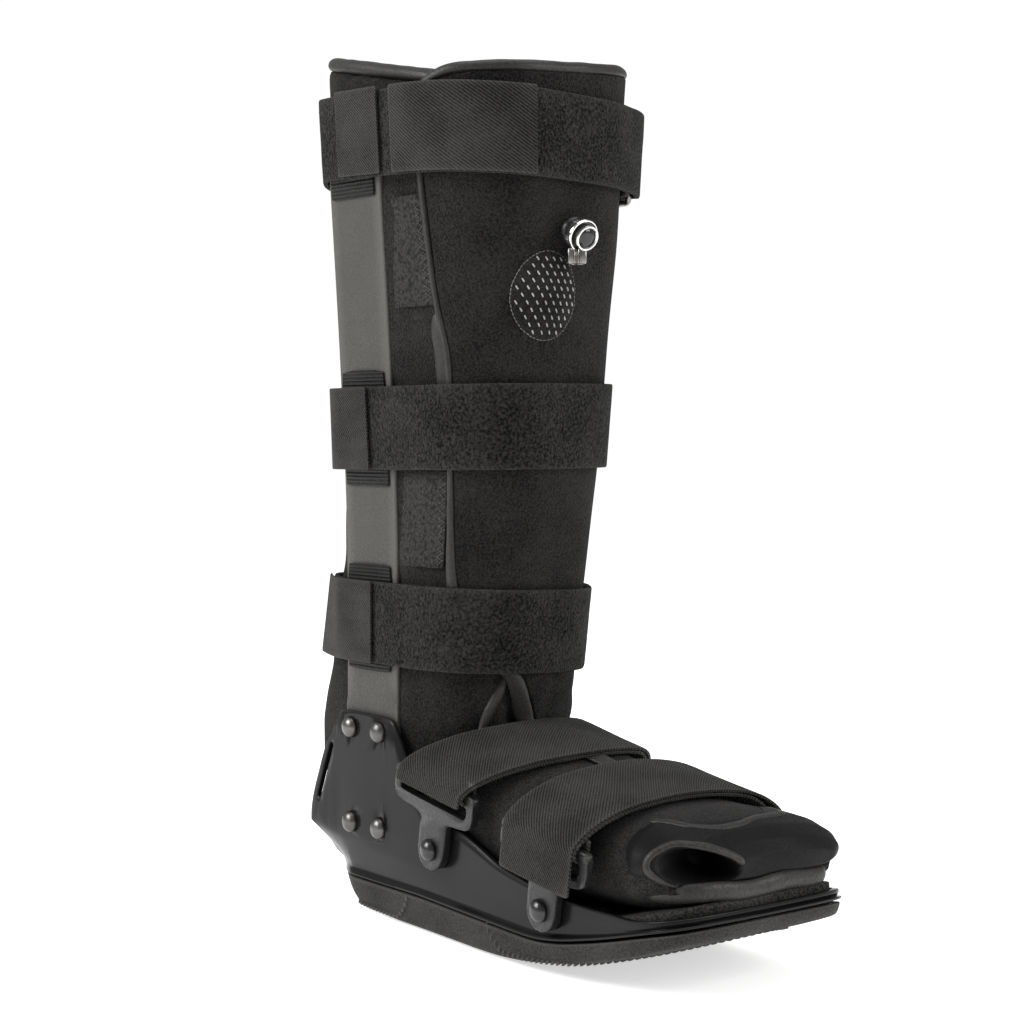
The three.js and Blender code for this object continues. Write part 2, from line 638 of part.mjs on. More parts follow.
function frontFlap() {
  const rows = FLAP_EDGES.map(({ up, near, far }) => ({ z: legBed + up * legRun, near, far }));
  return legSlab(rows, FLAP_IN, FLAP_OUT, 14);
}

// Soft binding that runs up the flap's near edge, round its corner and across its top
function flapBinding() {
  const stops = FLAP_EDGES.map(({ up, near, roll }) => ({ angle: near, z: legBed + up * legRun, roll }));
  const corner = stops[stops.length - 1];
  const far = FLAP_EDGES[FLAP_EDGES.length - 1].far;
  for (let i = 1; i <= 12; i++) stops.push({ ...corner, angle: lerp(corner.angle, far, i / 12) });
  const at = ({ angle, z }, grow) => lifted(legPoint(angle, z, grow));
  return skin(
    stops.map((stop, i) => {
      const before = at(stops[Math.max(i - 1, 0)], 0);
      const along = at(stops[Math.min(i + 1, stops.length - 1)], 0).sub(before);
      const out = at(stop, 1).sub(at(stop, 0)).normalize();
      const past = along.cross(out).normalize().negate();
      const cross = [
        [GAP, FLAP_IN],
        [GAP, FLAP_OUT - 0.3],
        [GAP + 0.25 * stop.roll, FLAP_OUT + 0.5],
        [GAP + 0.7 * stop.roll, FLAP_OUT + 0.1],
        [GAP + stop.roll, (FLAP_IN + FLAP_OUT) / 2],
        [GAP + 0.8 * stop.roll, FLAP_IN],
      ];
      return cross.map(([u, grow]) => at(stop, grow).addScaledVector(past, u));
    }),
  );
}

// Flat patches of hook mesh beside the flap's roll
const MESH_PATCHES = [
  { name: "mesh_patch_upper", from: 0.7, to: 0.835, near: -88.5 },
  { name: "mesh_patch_lower", from: 0.38, to: 0.5, near: -86.5 },
];
function meshPatch({ from, to, near }) {
  const rows = [0, 0.5, 1].map((share) => {
    const z = legBed + lerp(from, to, share) * legRun;
    const edge = flapEdge(z, "near");
    const perDegree = legPoint(edge, z).distanceTo(legPoint(edge - 1, z));
    return { z, near, far: edge - (flapEdge(z, "roll") + 1.4) / perDegree };
  });
  return legSlab(rows, SOFT_GAP, SOFT_GAP + 1.2, 5);
}

// Bound rim of the liner, clasping its wall from above
function rimBinding() {
  const angles = Array.from({ length: 32 }, (_, i) => 180 - i * 11.25);
  const cross = [
    { grow: -0.6, up: 0 },
    { grow: -0.2, up: 2.6 },
    { grow: -1.8, up: 5 },
    { grow: 1.8 - LINER_WALL, up: 5 },
    { grow: 0.2 - LINER_WALL, up: 2.6 },
    { grow: 0.6 - LINER_WALL, up: 0 },
  ];
  return skin(
    angles.map((angle) =>
      cross.map(({ grow, up }) => {
        const point = legPoint(angle, RIM_HEIGHT, grow);
        return point.setZ(rimLevel(point.x) + 2 * GAP + up);
      }),
    ),
    { closed: true },
  );
}

// Uprights
const uprightIn = (z) => legHalfWidth(z) + GAP;
const uprightOut = (z) => uprightIn(z) + UPRIGHT_THICK;

function uprightLevels(low, high) {
  const bends = LEG_SECTIONS.map(({ up }) => legBed + up * legRun);
  return [low, ...bends.filter((z) => z > low + 2 && z < high - 2), high];
}

function upright(side) {
  const straight = UPRIGHT_TOP - UPRIGHT_ROUND;
  const rows = uprightLevels(UPRIGHT_FOOT, straight).map((z) => ({ z, half: UPRIGHT_WIDTH / 2 }));
  for (const degrees of [30, 60, 82]) {
    const angle = radians(degrees);
    const half = UPRIGHT_WIDTH / 2 - UPRIGHT_ROUND * (1 - Math.cos(angle));
    rows.push({ z: straight + UPRIGHT_ROUND * Math.sin(angle), half });
  }
  const body = skin(
    rows.map(({ z, half }) => {
      const [near, far] = [side * uprightIn(z), side * uprightOut(z)];
      return [
        new THREE.Vector3(UPRIGHT_X - half, far, z),
        new THREE.Vector3(UPRIGHT_X + half, far, z),
        new THREE.Vector3(UPRIGHT_X + half, near, z),
        new THREE.Vector3(UPRIGHT_X - half, near, z),
      ];
    }),
  );
  let solid = toSolid(body);
  for (const rivet of RIVETS) if (rivet.side === side && rivet.plate) solid = solid.subtract(rivetHole(rivet));
  return toGeometry(solid);
}

// Ribbed pad on an upright behind a strap
function strapPad(side, strap) {
  const x = UPRIGHT_X;
  const tilt = (z, y) => z + strap.leanX * x + strap.leanY * y;
  const nearY = side * legHalfWidth(strap.low);
  const low = tilt(strap.low, nearY) - (strap.name === "low" ? 0.5 : 1) * PAD_OVER;
  const high = Math.min(tilt(strap.low, nearY) + STRAP_WIDTH + PAD_OVER, UPRIGHT_TOP - 1);
  const rows = uprightLevels(low, high);
  return skin(
    rows.map((z) => {
      const inner = side * (uprightOut(z) + GAP);
      const outer = side * (uprightOut(z) + GAP + PAD_THICK);
      const half = PAD_WIDTH / 2;
      return [
        new THREE.Vector3(x - half, outer, z),
        new THREE.Vector3(x + half, outer, z),
        new THREE.Vector3(x + half, inner, z),
        new THREE.Vector3(x - half, inner, z),
      ];
    }),
  );
}

// Rivets: each has its side, place, the depth of its shank and the y of the face it sits on
const loopSlope = (x) => (wallHalf(x + 10) - wallHalf(x - 10)) / 20;
const RIVETS = [];
for (const side of [-1, 1]) {
  const label = side < 0 ? "right" : "left";
  for (const [level, z] of [["high", RIVET_HIGH], ["low", RIVET_LOW]]) {
    for (const [place, offset] of [["rear", -0.5], ["front", 0.5]]) {
      RIVETS.push({
        name: `plate_rivet_${level}_${place}_${label}`,
        side,
        plate: true,
        x: PLATE_X + offset * RIVET_SPACING,
        z,
        face: plateHalf + GAP,
        shank: GAP + SHELL_WALL + GAP + UPRIGHT_THICK,
        yaw: 0,
      });
    }
  }
  for (const strap of FOOT_STRAPS) {
    const slope = Math.atan(loopSlope(strap.x));
    RIVETS.push({
      name: `loop_rivet_${strap.name}_${label}`,
      side,
      plate: false,
      x: strap.x - (LOOP_THICK + 2 * GAP) * Math.sin(slope),
      z: strap.z,
      face: wallHalf(strap.x) + GAP + (LOOP_THICK + 2 * GAP) * Math.cos(slope),
      shank: GAP + LOOP_THICK + GAP + SHELL_WALL,
      yaw: side * slope,
    });
  }
}
const facing = ({ side, yaw }) =>
  new THREE.Quaternion().setFromEuler(new THREE.Euler(side < 0 ? Math.PI : 0, 0, yaw, "ZYX"));

function rivetGeometry({ shank }) {
  const profile = [
    [0, -shank],
    [RIVET_SHANK, -shank],
    [RIVET_SHANK, 0],
    [RIVET_HEAD, 0],
    [RIVET_HEAD, 0.25 * RIVET_DOME],
    [0.7 * RIVET_HEAD, 0.78 * RIVET_DOME],
    [0, RIVET_DOME],
  ];
  return new THREE.LatheGeometry(profile.map(([x, y]) => new THREE.Vector2(x, y)), 9);
}

function rivetHole(rivet) {
  const hole = new THREE.CylinderGeometry(RIVET_SHANK + GAP, RIVET_SHANK + GAP, 30, 9);
  return toSolid(hole, placed(rivet.x, rivet.side * rivet.face, rivet.z, facing(rivet)));
}

// Moulded strap loops, drawn flat with the rivet at the origin and the strap's bar above it
function strapLoop(side, { x, z, lean }) {
  const half = LOOP_WIDTH / 2;
  const top = LOOP_BAR + LOOP_BAR_HALF;
  const low = top - 2 * LOOP_BAR_HALF - LOOP_SLOT;
  const shape = new THREE.Shape();
  shape.absarc(0, 0, LOOP_TAB, Math.PI, 2 * Math.PI);
  shape.lineTo(LOOP_TAB, low - 9);
  shape.quadraticCurveTo(LOOP_TAB + 3, low - 6.5, LOOP_TAB + 9, low - 6);
  shape.lineTo(half - 6, low - 5);
  shape.quadraticCurveTo(half, low - 4, half, low + 2);
  shape.lineTo(half, top - 4);
  shape.quadraticCurveTo(half, top, half - 4, top);
  shape.lineTo(4 - half, top);
  shape.quadraticCurveTo(-half, top, -half, top - 4);
  shape.lineTo(-half, low + 2);
  shape.quadraticCurveTo(-half, low - 4, 6 - half, low - 5);
  shape.lineTo(-LOOP_TAB - 9, low - 6);
  shape.quadraticCurveTo(-LOOP_TAB - 3, low - 6.5, -LOOP_TAB, low - 9);
  const slot = new THREE.Path();
  const reach = half - 4.6;
  slot.moveTo(-reach, low);
  slot.lineTo(-reach, low + LOOP_SLOT);
  slot.lineTo(reach, low + LOOP_SLOT);
  slot.lineTo(reach, low);
  const eye = new THREE.Path();
  eye.absarc(0, 0, RIVET_SHANK + GAP, 0, 2 * Math.PI);
  shape.holes.push(slot, eye);
  const geometry = new THREE.ExtrudeGeometry(shape, {
    depth: LOOP_THICK,
    bevelEnabled: false,
    curveSegments: 4,
  });
  const position = geometry.attributes.position;
  for (let i = 0; i < position.count; i++) {
    const share = smooth((position.getY(i) - 1.5 * LOOP_TAB) / 5);
    const over = position.getZ(i) > LOOP_THICK / 2;
    const step = LOOP_STEP * share - (over ? (LOOP_THICK - 2 * LOOP_BAR_HALF) * share : 0);
    position.setZ(i, position.getZ(i) + step);
  }
  // Drawn x runs forward, y up and z outwards: stand it up, lean it, follow the wall, set it down
  geometry.applyMatrix4(new THREE.Matrix4().makeRotationZ(-radians(lean)));
  geometry.applyMatrix4(new THREE.Matrix4().makeRotationX(Math.PI / 2));
  if (side > 0) geometry.applyMatrix4(new THREE.Matrix4().makeScale(1, -1, 1));
  geometry.applyMatrix4(new THREE.Matrix4().makeRotationZ(side * Math.atan(loopSlope(x))));
  geometry.translate(x, side * (wallHalf(x) + GAP), z);
  const bare = geometry.clone();
  bare.deleteAttribute("normal");
  bare.deleteAttribute("uv");
  const merged = mergeVertices(bare, 1e-4);
  if (side > 0) {
    const index = merged.index.array;
    for (let i = 0; i < index.length; i += 3) [index[i], index[i + 1]] = [index[i + 1], index[i]];
  }
  return merged;
}

// Webbing laid along rows of points: each row has the two edges of the sheet's middle surface
function sheet(rows, thick, closed = false) {
  const count = rows.length;
  const normalAt = (i) => {
    const before = rows[closed ? (i + count - 1) % count : Math.max(i - 1, 0)];
    const after = rows[closed ? (i + 1) % count : Math.min(i + 1, count - 1)];
    const along = after.a.clone().add(after.b).sub(before.a).sub(before.b);
    return along.cross(rows[i].b.clone().sub(rows[i].a)).normalize();
  };
  return skin(
    rows.map(({ a, b }, i) => {
      const push = normalAt(i).multiplyScalar(thick / 2);
      return [a.clone().add(push), b.clone().add(push), b.clone().sub(push), a.clone().sub(push)];
    }),
    { closed },
  );
}

// Half turn of a sheet round a bar. ahead points past the bar, out to the layer that it starts on.
function turn(barA, barB, ahead, out, radius, steps = 5) {
  return Array.from({ length: steps }, (_, i) => {
    const angle = (Math.PI * (i + 0.5)) / steps;
    const offset = out.clone().multiplyScalar(radius * Math.cos(angle));
    offset.addScaledVector(ahead, radius * Math.sin(angle));
    return { a: barA.clone().add(offset), b: barB.clone().add(offset) };
  });
}

// Foot straps: a free end hangs over the near loop, the outer layer crosses the foot, turns round
// the far loop's bar and comes back inside to the near loop's bar
const CROSSING = [
  // side: share of the way out to the loop; lean and rise: shares of the way up to the crest
  { side: 1, lean: 0, rise: 0 },
  { side: 0.99, lean: 0.04, rise: 0.13 },
  { side: 0.92, lean: 0.19, rise: 0.36 },
  { side: 0.8, lean: 0.41, rise: 0.58 },
  { side: 0.65, lean: 0.61, rise: 0.76 },
  { side: 0.48, lean: 0.79, rise: 0.88 },
  { side: 0.25, lean: 0.95, rise: 0.97 },
  { side: 0, lean: 1, rise: 1 },
];

function footStrap({ x, z, lean, crest, drop }) {
  const angle = radians(lean);
  const barRadius = LOOP_BAR_HALF * Math.SQRT2 + GAP + WEB_THICK / 2;
  const barY = wallHalf(x) + GAP + LOOP_STEP + LOOP_BAR_HALF;
  const apart = WEB_THICK + LAYER_GAP;
  const slope = Math.atan(loopSlope(x));
  const bar = (side, across) => {
    const u = (across * FOOT_STRAP_WIDTH) / 2;
    const px = u * Math.cos(angle) + LOOP_BAR * Math.sin(angle);
    const pz = z + LOOP_BAR * Math.cos(angle) - u * Math.sin(angle);
    return new THREE.Vector3(x + px * Math.cos(slope), side * (barY + px * Math.sin(slope)), pz);
  };
  const outerY = barRadius + apart / 2;
  const edge = (across) => {
    const foot = bar(-1, across);
    const topX = crest + (across * (FOOT_STRAP_WIDTH - 3)) / 2;
    const topZ = footTop(topX) + 1 + SOFT_GAP + WEB_THICK + LAYER_GAP / 2;
    const reach = Math.abs(foot.y);
    const half = CROSSING.map(({ side, lean: share, rise }) => {
      const x = lerp(foot.x, topX, share);
      const clear = footHeight(x, side * reach) + SOFT_GAP + WEB_THICK + LAYER_GAP / 2 + 0.4;
      return { side, x, z: Math.max(lerp(foot.z, topZ, rise), clear) };
    });
    const near = half.map((row) => new THREE.Vector3(row.x, -row.side * (reach + outerY), row.z));
    const far = half.slice(0, -1).reverse();
    const out = (row) => row.side * lerp(reach + outerY, reach, smooth((row.side - 0.6) / 0.4));
    return [...near, ...far.map((row) => new THREE.Vector3(row.x, out(row), row.z))];
  };
  const [rear, front] = [edge(-1), edge(1)];
  const middle = rear.map((a, i) => ({ a, b: front[i] }));
  const last = middle.length - 1;
  const spread = (i) => {
    const gone = clamp((i - (last - 4)) / 4, 0, 1);
    return lerp(apart / 2, barRadius, smooth(gone));
  };
  const shifted = (i, sign) => {
    const before = middle[Math.max(i - 1, 0)];
    const after = middle[Math.min(i + 1, last)];
    const along = after.a.clone().add(after.b).sub(before.a).sub(before.b);
    const push = along.cross(middle[i].b.clone().sub(middle[i].a)).normalize();
    const outwards = i === 0 || i === last ? Math.sign(push.y) === Math.sign(middle[i].a.y) : push.z > 0;
    if (!outwards) push.negate();
    push.multiplyScalar(sign * spread(i));
    return { a: middle[i].a.clone().add(push), b: middle[i].b.clone().add(push) };
  };
  const down = new THREE.Vector3(-Math.sin(angle), 0, -Math.cos(angle));
  const left = new THREE.Vector3(0, 1, 0);
  const rows = [];
  for (const share of [1, 0.5]) {
    const start = shifted(0, 1);
    const step = down.clone().multiplyScalar(drop * share);
    rows.push({ a: start.a.add(step), b: start.b.add(step) });
  }
  for (let i = 0; i <= last; i++) rows.push(shifted(i, 1));
  rows.push(...turn(bar(1, -1), bar(1, 1), down, left, barRadius));
  for (let i = last; i >= 0; i--) rows.push(shifted(i, -1));
  rows.push(...turn(bar(-1, -1), bar(-1, 1), down, left.clone().negate(), barRadius));
  const inside = { a: bar(-1, -1), b: bar(-1, 1) };
  const step = left.clone().multiplyScalar(barRadius).addScaledVector(down, -6);
  rows.push({ a: inside.a.add(step), b: inside.b.add(step) });
  return sheet(rows, WEB_THICK);
}

// Path that a tight band takes round the leg at one height, as evenly spaced points that start
// beside the right upright and run to the front
function wrapPath(z, flapFrom, clearance) {
  const points = [];
  for (let degrees = -180; degrees < 180; degrees += 5) {
    const flapped = degrees > flapFrom && degrees < flapEdge(z, "far") + 3;
    points.push(legPoint(degrees, z, flapped ? FLAP_OUT + 1 : 0));
  }
  const padOut = uprightOut(z) + GAP + PAD_THICK;
  for (const side of [-1, 1]) {
    for (const across of [-0.5, 0.5]) {
      points.push(new THREE.Vector3(UPRIGHT_X + across * PAD_WIDTH, side * padOut, z));
      points.push(new THREE.Vector3(UPRIGHT_X + across * UPRIGHT_WIDTH, side * uprightOut(z), z));
    }
  }
  const turnCount = 144;
  const path = [];
  for (let i = 0; i < turnCount; i++) {
    const angle = -Math.PI / 2 + (i * 2 * Math.PI) / turnCount;
    const way = new THREE.Vector3(Math.cos(angle), Math.sin(angle), 0);
    const support = points.reduce((best, p) => (p.dot(way) > best.dot(way) ? p : best));
    path.push(support.clone().addScaledVector(way, clearance));
  }
  return path;
}

class Band {
  constructor(strap) {
    this.strap = strap;
    const [low, high] = [strap.low, strap.low + STRAP_WIDTH];
    const flapFrom = Math.min(flapEdge(low, "near"), flapEdge(high, "near")) - 9;
    const curve = (z) => {
      const path = new THREE.CatmullRomCurve3(wrapPath(z, flapFrom, SOFT_GAP), true, "chordal");
      path.arcLengthDivisions = 600;
      return path;
    };
    this.low = this.marked(curve(low));
    this.high = this.marked(curve(high));
    this.length = this.low.curve.getLength();
    this.stops = this.stations(this.low.marks.slice(1, -1).map((mark) => mark * this.length));
  }

  // Curve with the shares of its length, from beside the right upright, at the pads' and uprights'
  // corners, which both edges of the band pass together
  marked(curve) {
    const start = this.find(curve, UPRIGHT_X, -1);
    const past = (across, side) => {
      const share = this.find(curve, UPRIGHT_X + across / 2, side) - start;
      return share - Math.floor(share);
    };
    const right = [past(-UPRIGHT_WIDTH, -1), past(-PAD_WIDTH, -1)];
    const left = [past(PAD_WIDTH, 1), past(-PAD_WIDTH, 1), past(-UPRIGHT_WIDTH, 1)];
    return { curve, start, marks: [0, past(PAD_WIDTH, -1), ...left, ...right, 1] };
  }

  // Share of a curve's length at which it passes a given x on one side
  find(curve, x, side) {
    const steps = 900;
    let best = 0;
    let bestError = Infinity;
    for (let i = 0; i < steps; i++) {
      const point = curve.getPointAt(i / steps);
      const error = Math.abs(point.x - x) + (point.y * side < 0 ? 1000 : 0);
      if (error < bestError) [best, bestError] = [i / steps, error];
    }
    return best;
  }

  // Distance along the band at which it passes a given x on the left
  distanceTo(x) {
    const share = this.find(this.low.curve, x, 1) - this.low.start;
    return (share - Math.floor(share)) * this.length;
  }

  // Distances at which every layer of the band has a row: evenly spaced, and at the corners
  stations(bends) {
    const keys = bends.flatMap((bend) => [bend - this.length, bend, bend + this.length]).sort((a, b) => a - b);
    const stops = [];
    for (let i = 0; i < keys.length - 1; i++) {
      const count = Math.max(1, Math.round((keys[i + 1] - keys[i]) / 11));
      for (let k = 0; k < count; k++) stops.push(lerp(keys[i], keys[i + 1], k / count));
    }
    return stops;
  }

  // Where an edge stands at a distance along the band
  place(edge, distance) {
    const whole = distance / this.length;
    const share = whole - Math.floor(whole);
    const i = this.low.marks.findIndex((mark, k) => k > 0 && share <= mark);
    const [from, to] = [this.low.marks[i - 1], this.low.marks[i]];
    const along = edge.start + lerp(edge.marks[i - 1], edge.marks[i], (share - from) / (to - from));
    return along - Math.floor(along);
  }

  // Edges of the band at a distance forward of the upright, pushed out by offset
  row(distance, offset, low = 0, high = 1) {
    const at = (edge, level) => {
      const place = this.place(edge, distance);
      const point = edge.curve.getPointAt(place);
      const along = edge.curve.getTangentAt(place);
      point.addScaledVector(new THREE.Vector3(along.y, -along.x, 0).normalize(), offset);
      point.z = level + this.strap.leanX * point.x + this.strap.leanY * point.y;
      return point;
    };
    const [bottom, top] = [at(this.low, this.strap.low), at(this.high, this.strap.low + STRAP_WIDTH)];
    return { a: bottom.clone().lerp(top, low), b: bottom.clone().lerp(top, high) };
  }

  forward(distance) {
    return this.low.curve.getTangentAt(this.place(this.low, distance)).setZ(0).normalize();
  }

  outward(distance) {
    const along = this.forward(distance);
    return new THREE.Vector3(along.y, -along.x, 0);
  }

  rows(from, to, offset, low, high) {
    const [start, end] = [Math.min(from, to), Math.max(from, to)];
    const inside = this.stops.filter((stop) => stop > start + 1.5 && stop < end - 1.5);
    const distances = from < to ? [from, ...inside, to] : [from, ...inside.reverse(), to];
    return distances.map((distance) => this.row(distance, offset(distance), low, high));
  }
}

const turnRadius = RING_WIRE + 0.6 + STRAP_THICK / 2;
const baseOffset = STRAP_THICK / 2;
const raised = baseOffset + 2 * turnRadius;
const rampLength = 27;

function legStrap(band) {
  const bar = band.distanceTo(band.strap.ring);
  const outer = (s) => lerp(baseOffset, raised, smooth((s - (bar - rampLength)) / rampLength));
  const middle = band.row(bar, baseOffset + turnRadius);
  return sheet(
    [
      ...band.rows(STRAP_START, bar, outer),
      ...turn(middle.a, middle.b, band.forward(bar), band.outward(bar), turnRadius),
      ...band.rows(bar - 1, bar - FOLD_BACK, () => baseOffset),
    ],
    STRAP_THICK,
  );
}

// Short strap from the ring's rear bar round the back to the start of the front strap
function anchorStrap(band) {
  const bar = band.distanceTo(band.strap.ring) + RING_SLOT + 2 * RING_WIRE;
  const end = band.length + STRAP_START - 1;
  const outer = (s) => lerp(raised, baseOffset, smooth((s - bar) / rampLength));
  const middle = band.row(bar, baseOffset + turnRadius);
  const back = band.forward(bar).negate();
  return sheet(
    [
      ...band.rows(bar + FOLD_BACK, bar + 1, () => baseOffset),
      ...turn(middle.a, middle.b, back, band.outward(bar).negate(), turnRadius),
      ...band.rows(bar, end, outer),
    ],
    STRAP_THICK,
  );
}

// Wire ring between the two straps: a rounded rectangle of round bar
function strapRing(band) {
  const near = band.distanceTo(band.strap.ring);
  const far = near + RING_SLOT + 2 * RING_WIRE;
  const offset = baseOffset + turnRadius;
  const margin = (RING_TALL - STRAP_WIDTH) / 2 - RING_WIRE + 0.6;
  const a = band.row(near, offset);
  const b = band.row(far, offset);
  const up = a.b.clone().sub(a.a).normalize();
  const across = b.a.clone().sub(a.a).normalize();
  const corner = 2.2;
  const corners = [
    { at: a.a.clone().addScaledVector(up, -margin), x: 1, z: 1 },
    { at: b.a.clone().addScaledVector(up, -margin), x: -1, z: 1 },
    { at: b.b.clone().addScaledVector(up, margin), x: -1, z: -1 },
    { at: a.b.clone().addScaledVector(up, margin), x: 1, z: -1 },
  ];
  const path = corners.flatMap(({ at, x, z }, i) => {
    const turnIn = at.clone().addScaledVector(across, x * corner);
    const turnUp = at.clone().addScaledVector(up, z * corner);
    const soft = at.clone().addScaledVector(across, x * corner * 0.3).addScaledVector(up, z * corner * 0.3);
    return i % 2 === 0 ? [turnUp, soft, turnIn] : [turnIn, soft, turnUp];
  });
  const out = across.clone().cross(up).normalize();
  const centre = path.reduce((sum, p) => sum.add(p), new THREE.Vector3()).divideScalar(path.length);
  return skin(
    path.map((point, i) => {
      const before = path[(i + path.length - 1) % path.length];
      const after = path[(i + 1) % path.length];
      const along = after.clone().sub(before).normalize();
      const side = along.clone().cross(out).normalize();
      if (side.dot(point.clone().sub(centre)) < 0) side.negate();
      return Array.from({ length: 6 }, (_, k) => {
        const angle = (k * Math.PI) / 3;
        return point
          .clone()
          .addScaledVector(side, RING_WIRE * Math.cos(angle))
          .addScaledVector(out, RING_WIRE * Math.sin(angle));
      });
    }),
    { closed: true },
  );
}

// Flat tape sewn on the outside of a leg strap
function tape(band, from, to, low, high, thick) {
  const offset = STRAP_THICK + SOFT_GAP + 0.2 + thick / 2;
  return sheet(band.rows(from, to, () => offset, low, high), thick);
}

// Sewn-in window over the air pump, a shallow dome on the flap
function pumpWindow() {
  const ring = (share, grow) =>
    Array.from({ length: 18 }, (_, i) => {
      const angle = (i * Math.PI) / 9;
      const y = PUMP_Y + 0.9 * PUMP_RADIUS * share * Math.cos(angle);
      return frontPoint(y, PUMP_Z + PUMP_RADIUS * share * Math.sin(angle), grow);
    });
  const base = FLAP_OUT + 0.5;
  const rings = [
    ring(0.3, base),
    ring(0.7, base),
    ring(1, base),
    ring(1, base + 0.9),
    ring(0.8, base + 2),
    ring(0.5, base + 2.8),
    ring(0.2, base + 3.1),
  ];
  return skin(rings);
}

// Valve: every piece is turned about one axis that leaves the flap at the valve's place
const valveFoot = frontPoint(VALVE_Y, VALVE_Z, FLAP_OUT + 0.6);
const valveTurn = new THREE.Quaternion().setFromUnitVectors(new THREE.Vector3(0, 1, 0), VALVE_AIM);

function turned(profile, sides, start) {
  const geometry = new THREE.LatheGeometry(profile.map(([x, y]) => new THREE.Vector2(x, y)), sides);
  geometry.translate(0, start, 0);
  return geometry;
}

function valvePiece(name, geometry, material) {
  const mesh = piece(name, geometry, material);
  mesh.quaternion.copy(valveTurn);
  mesh.position.copy(valveFoot);
}

const VALVE_LIFT = 2.6; // the tilted base clears the flap
const BASE_LONG = 3;
const BARREL_LONG = 5;
const FLANGE_LONG = 2;
const CROWN_LONG = 3;
const bore = 2.2; // radius of the stem that carries the pieces
const barrelStart = VALVE_LIFT + BASE_LONG + GAP;
const flangeStart = barrelStart + BARREL_LONG;
const crownStart = flangeStart + FLANGE_LONG;

// Ring on the stem: a profile of its outside, from its back to its front, closed by the bore
const onStem = (outside) => {
  const [back, front] = [outside[0][1], outside[outside.length - 1][1]];
  return [[bore + GAP, back], ...outside, [bore + GAP, front], [bore + GAP, back]];
};

// Nozzle that hangs under the barrel, its top hollowed to clear it
function valveNozzle() {
  const centre = valveFoot.clone().addScaledVector(VALVE_AIM, barrelStart + 1);
  const nozzle = toSolid(
    new THREE.CylinderGeometry(VALVE_NOZZLE, VALVE_NOZZLE - 0.4, NOZZLE_DROP, 14).rotateX(Math.PI / 2),
    placed(centre.x, centre.y, centre.z - NOZZLE_DROP / 2),
  );
  const clear = VALVE_FLANGE + GAP;
  const space = toSolid(
    new THREE.CylinderGeometry(clear, clear, 60, 20),
    placed(valveFoot.x, valveFoot.y, valveFoot.z, valveTurn),
  );
  return toGeometry(nozzle.subtract(space));
}

function valve() {
  const stemEnd = crownStart + 0.9;
  const base = [
    [0, 0],
    [VALVE_BASE, 0],
    [VALVE_BASE, 0.4 * BASE_LONG],
    [VALVE_BASE - 1.4, BASE_LONG],
    [bore, BASE_LONG],
    [bore, stemEnd - VALVE_LIFT],
    [0, stemEnd - VALVE_LIFT],
  ];
  const barrel = onStem([
    [VALVE_BARREL - 0.6, 0],
    [VALVE_BARREL, 0.6],
    [VALVE_BARREL, BARREL_LONG - GAP],
  ]);
  const flange = onStem([
    [VALVE_FLANGE, 0],
    [VALVE_FLANGE, FLANGE_LONG - 0.9],
    [VALVE_FLANGE - 0.6, FLANGE_LONG - GAP],
  ]);
  const crown = [
    [0, 1.2],
    [bore + GAP, 1.2],
    [bore + GAP, 0],
    [VALVE_CROWN, 0],
    [VALVE_CROWN, CROWN_LONG - 0.3],
    [VALVE_CROWN - 0.3, CROWN_LONG],
    [VALVE_CROWN - 1.2, CROWN_LONG],
    [VALVE_CROWN - 1.6, CROWN_LONG - 0.7],
    [0, CROWN_LONG - 0.5],
  ];
  valvePiece("valve_base", turned(base, 14, VALVE_LIFT), MOULDED);
  valvePiece("valve_barrel", turned(barrel, 14, barrelStart), MOULDED);
  valvePiece("valve_flange", turned(flange, 14, flangeStart), CHROME);
  valvePiece("valve_crown", turned(crown, 14, crownStart), CHROME);
  piece("valve_nozzle", valveNozzle(), CHROME);
}

// Assembly
piece("outsole", outsole(), RUBBER);
piece("chassis", shell(), SHELL);
piece("insole_pad", insole(), FOAM);
piece("liner", liner(), FABRIC);
piece("toe_cover", toeCover(), BINDING);
piece("front_flap", frontFlap(), PILE);
piece("flap_binding", flapBinding(), BINDING);
piece("rim_binding", rimBinding(), BINDING);
for (const patch of MESH_PATCHES) piece(patch.name, meshPatch(patch), MESH);

for (const side of [-1, 1]) {
  const label = side < 0 ? "right" : "left";
  piece(`upright_${label}`, upright(side), UPRIGHT);
  for (const strap of LEG_STRAPS) piece(`strap_pad_${strap.name}_${label}`, strapPad(side, strap), PILE);
  for (const strap of FOOT_STRAPS) piece(`${strap.name}_loop_${label}`, strapLoop(side, strap), MOULDED);
}
for (const rivet of RIVETS) {
  const mesh = piece(rivet.name, rivetGeometry(rivet), rivet.plate ? STEEL : BLACK_STEEL);
  mesh.position.set(rivet.x, rivet.side * rivet.face, rivet.z);
  mesh.quaternion.copy(facing(rivet));
}
for (const strap of FOOT_STRAPS) piece(`${strap.name}_strap`, footStrap(strap), WEBBING);

const bands = Object.fromEntries(LEG_STRAPS.map((strap) => [strap.name, new Band(strap)]));
for (const [name, band] of Object.entries(bands)) {
  piece(`${name}_strap`, legStrap(band), PILE);
  piece(`${name}_anchor`, anchorStrap(band), PILE);
  piece(`${name}_ring`, strapRing(band), STEEL);
}
for (const name of ["middle", "low"]) piece(`${name}_hook_tab`, tape(bands[name], HOOK_TAB_START, HOOK_TAB_END, 0, 1, TAB_THICK), HOOK_TAPE);
piece("top_webbing_tab", tape(bands.top, WEBBING_TAB_START, WEBBING_TAB_END, 0.02, 1.03, TAB_THICK), WEBBING);
piece("top_webbing_panel", tape(bands.top, WEBBING_PANEL_START, WEBBING_PANEL_END, 0.01, 1.02, 2), WEBBING);

piece("pump_window", pumpWindow(), FOAM);
valve();

export default boot;
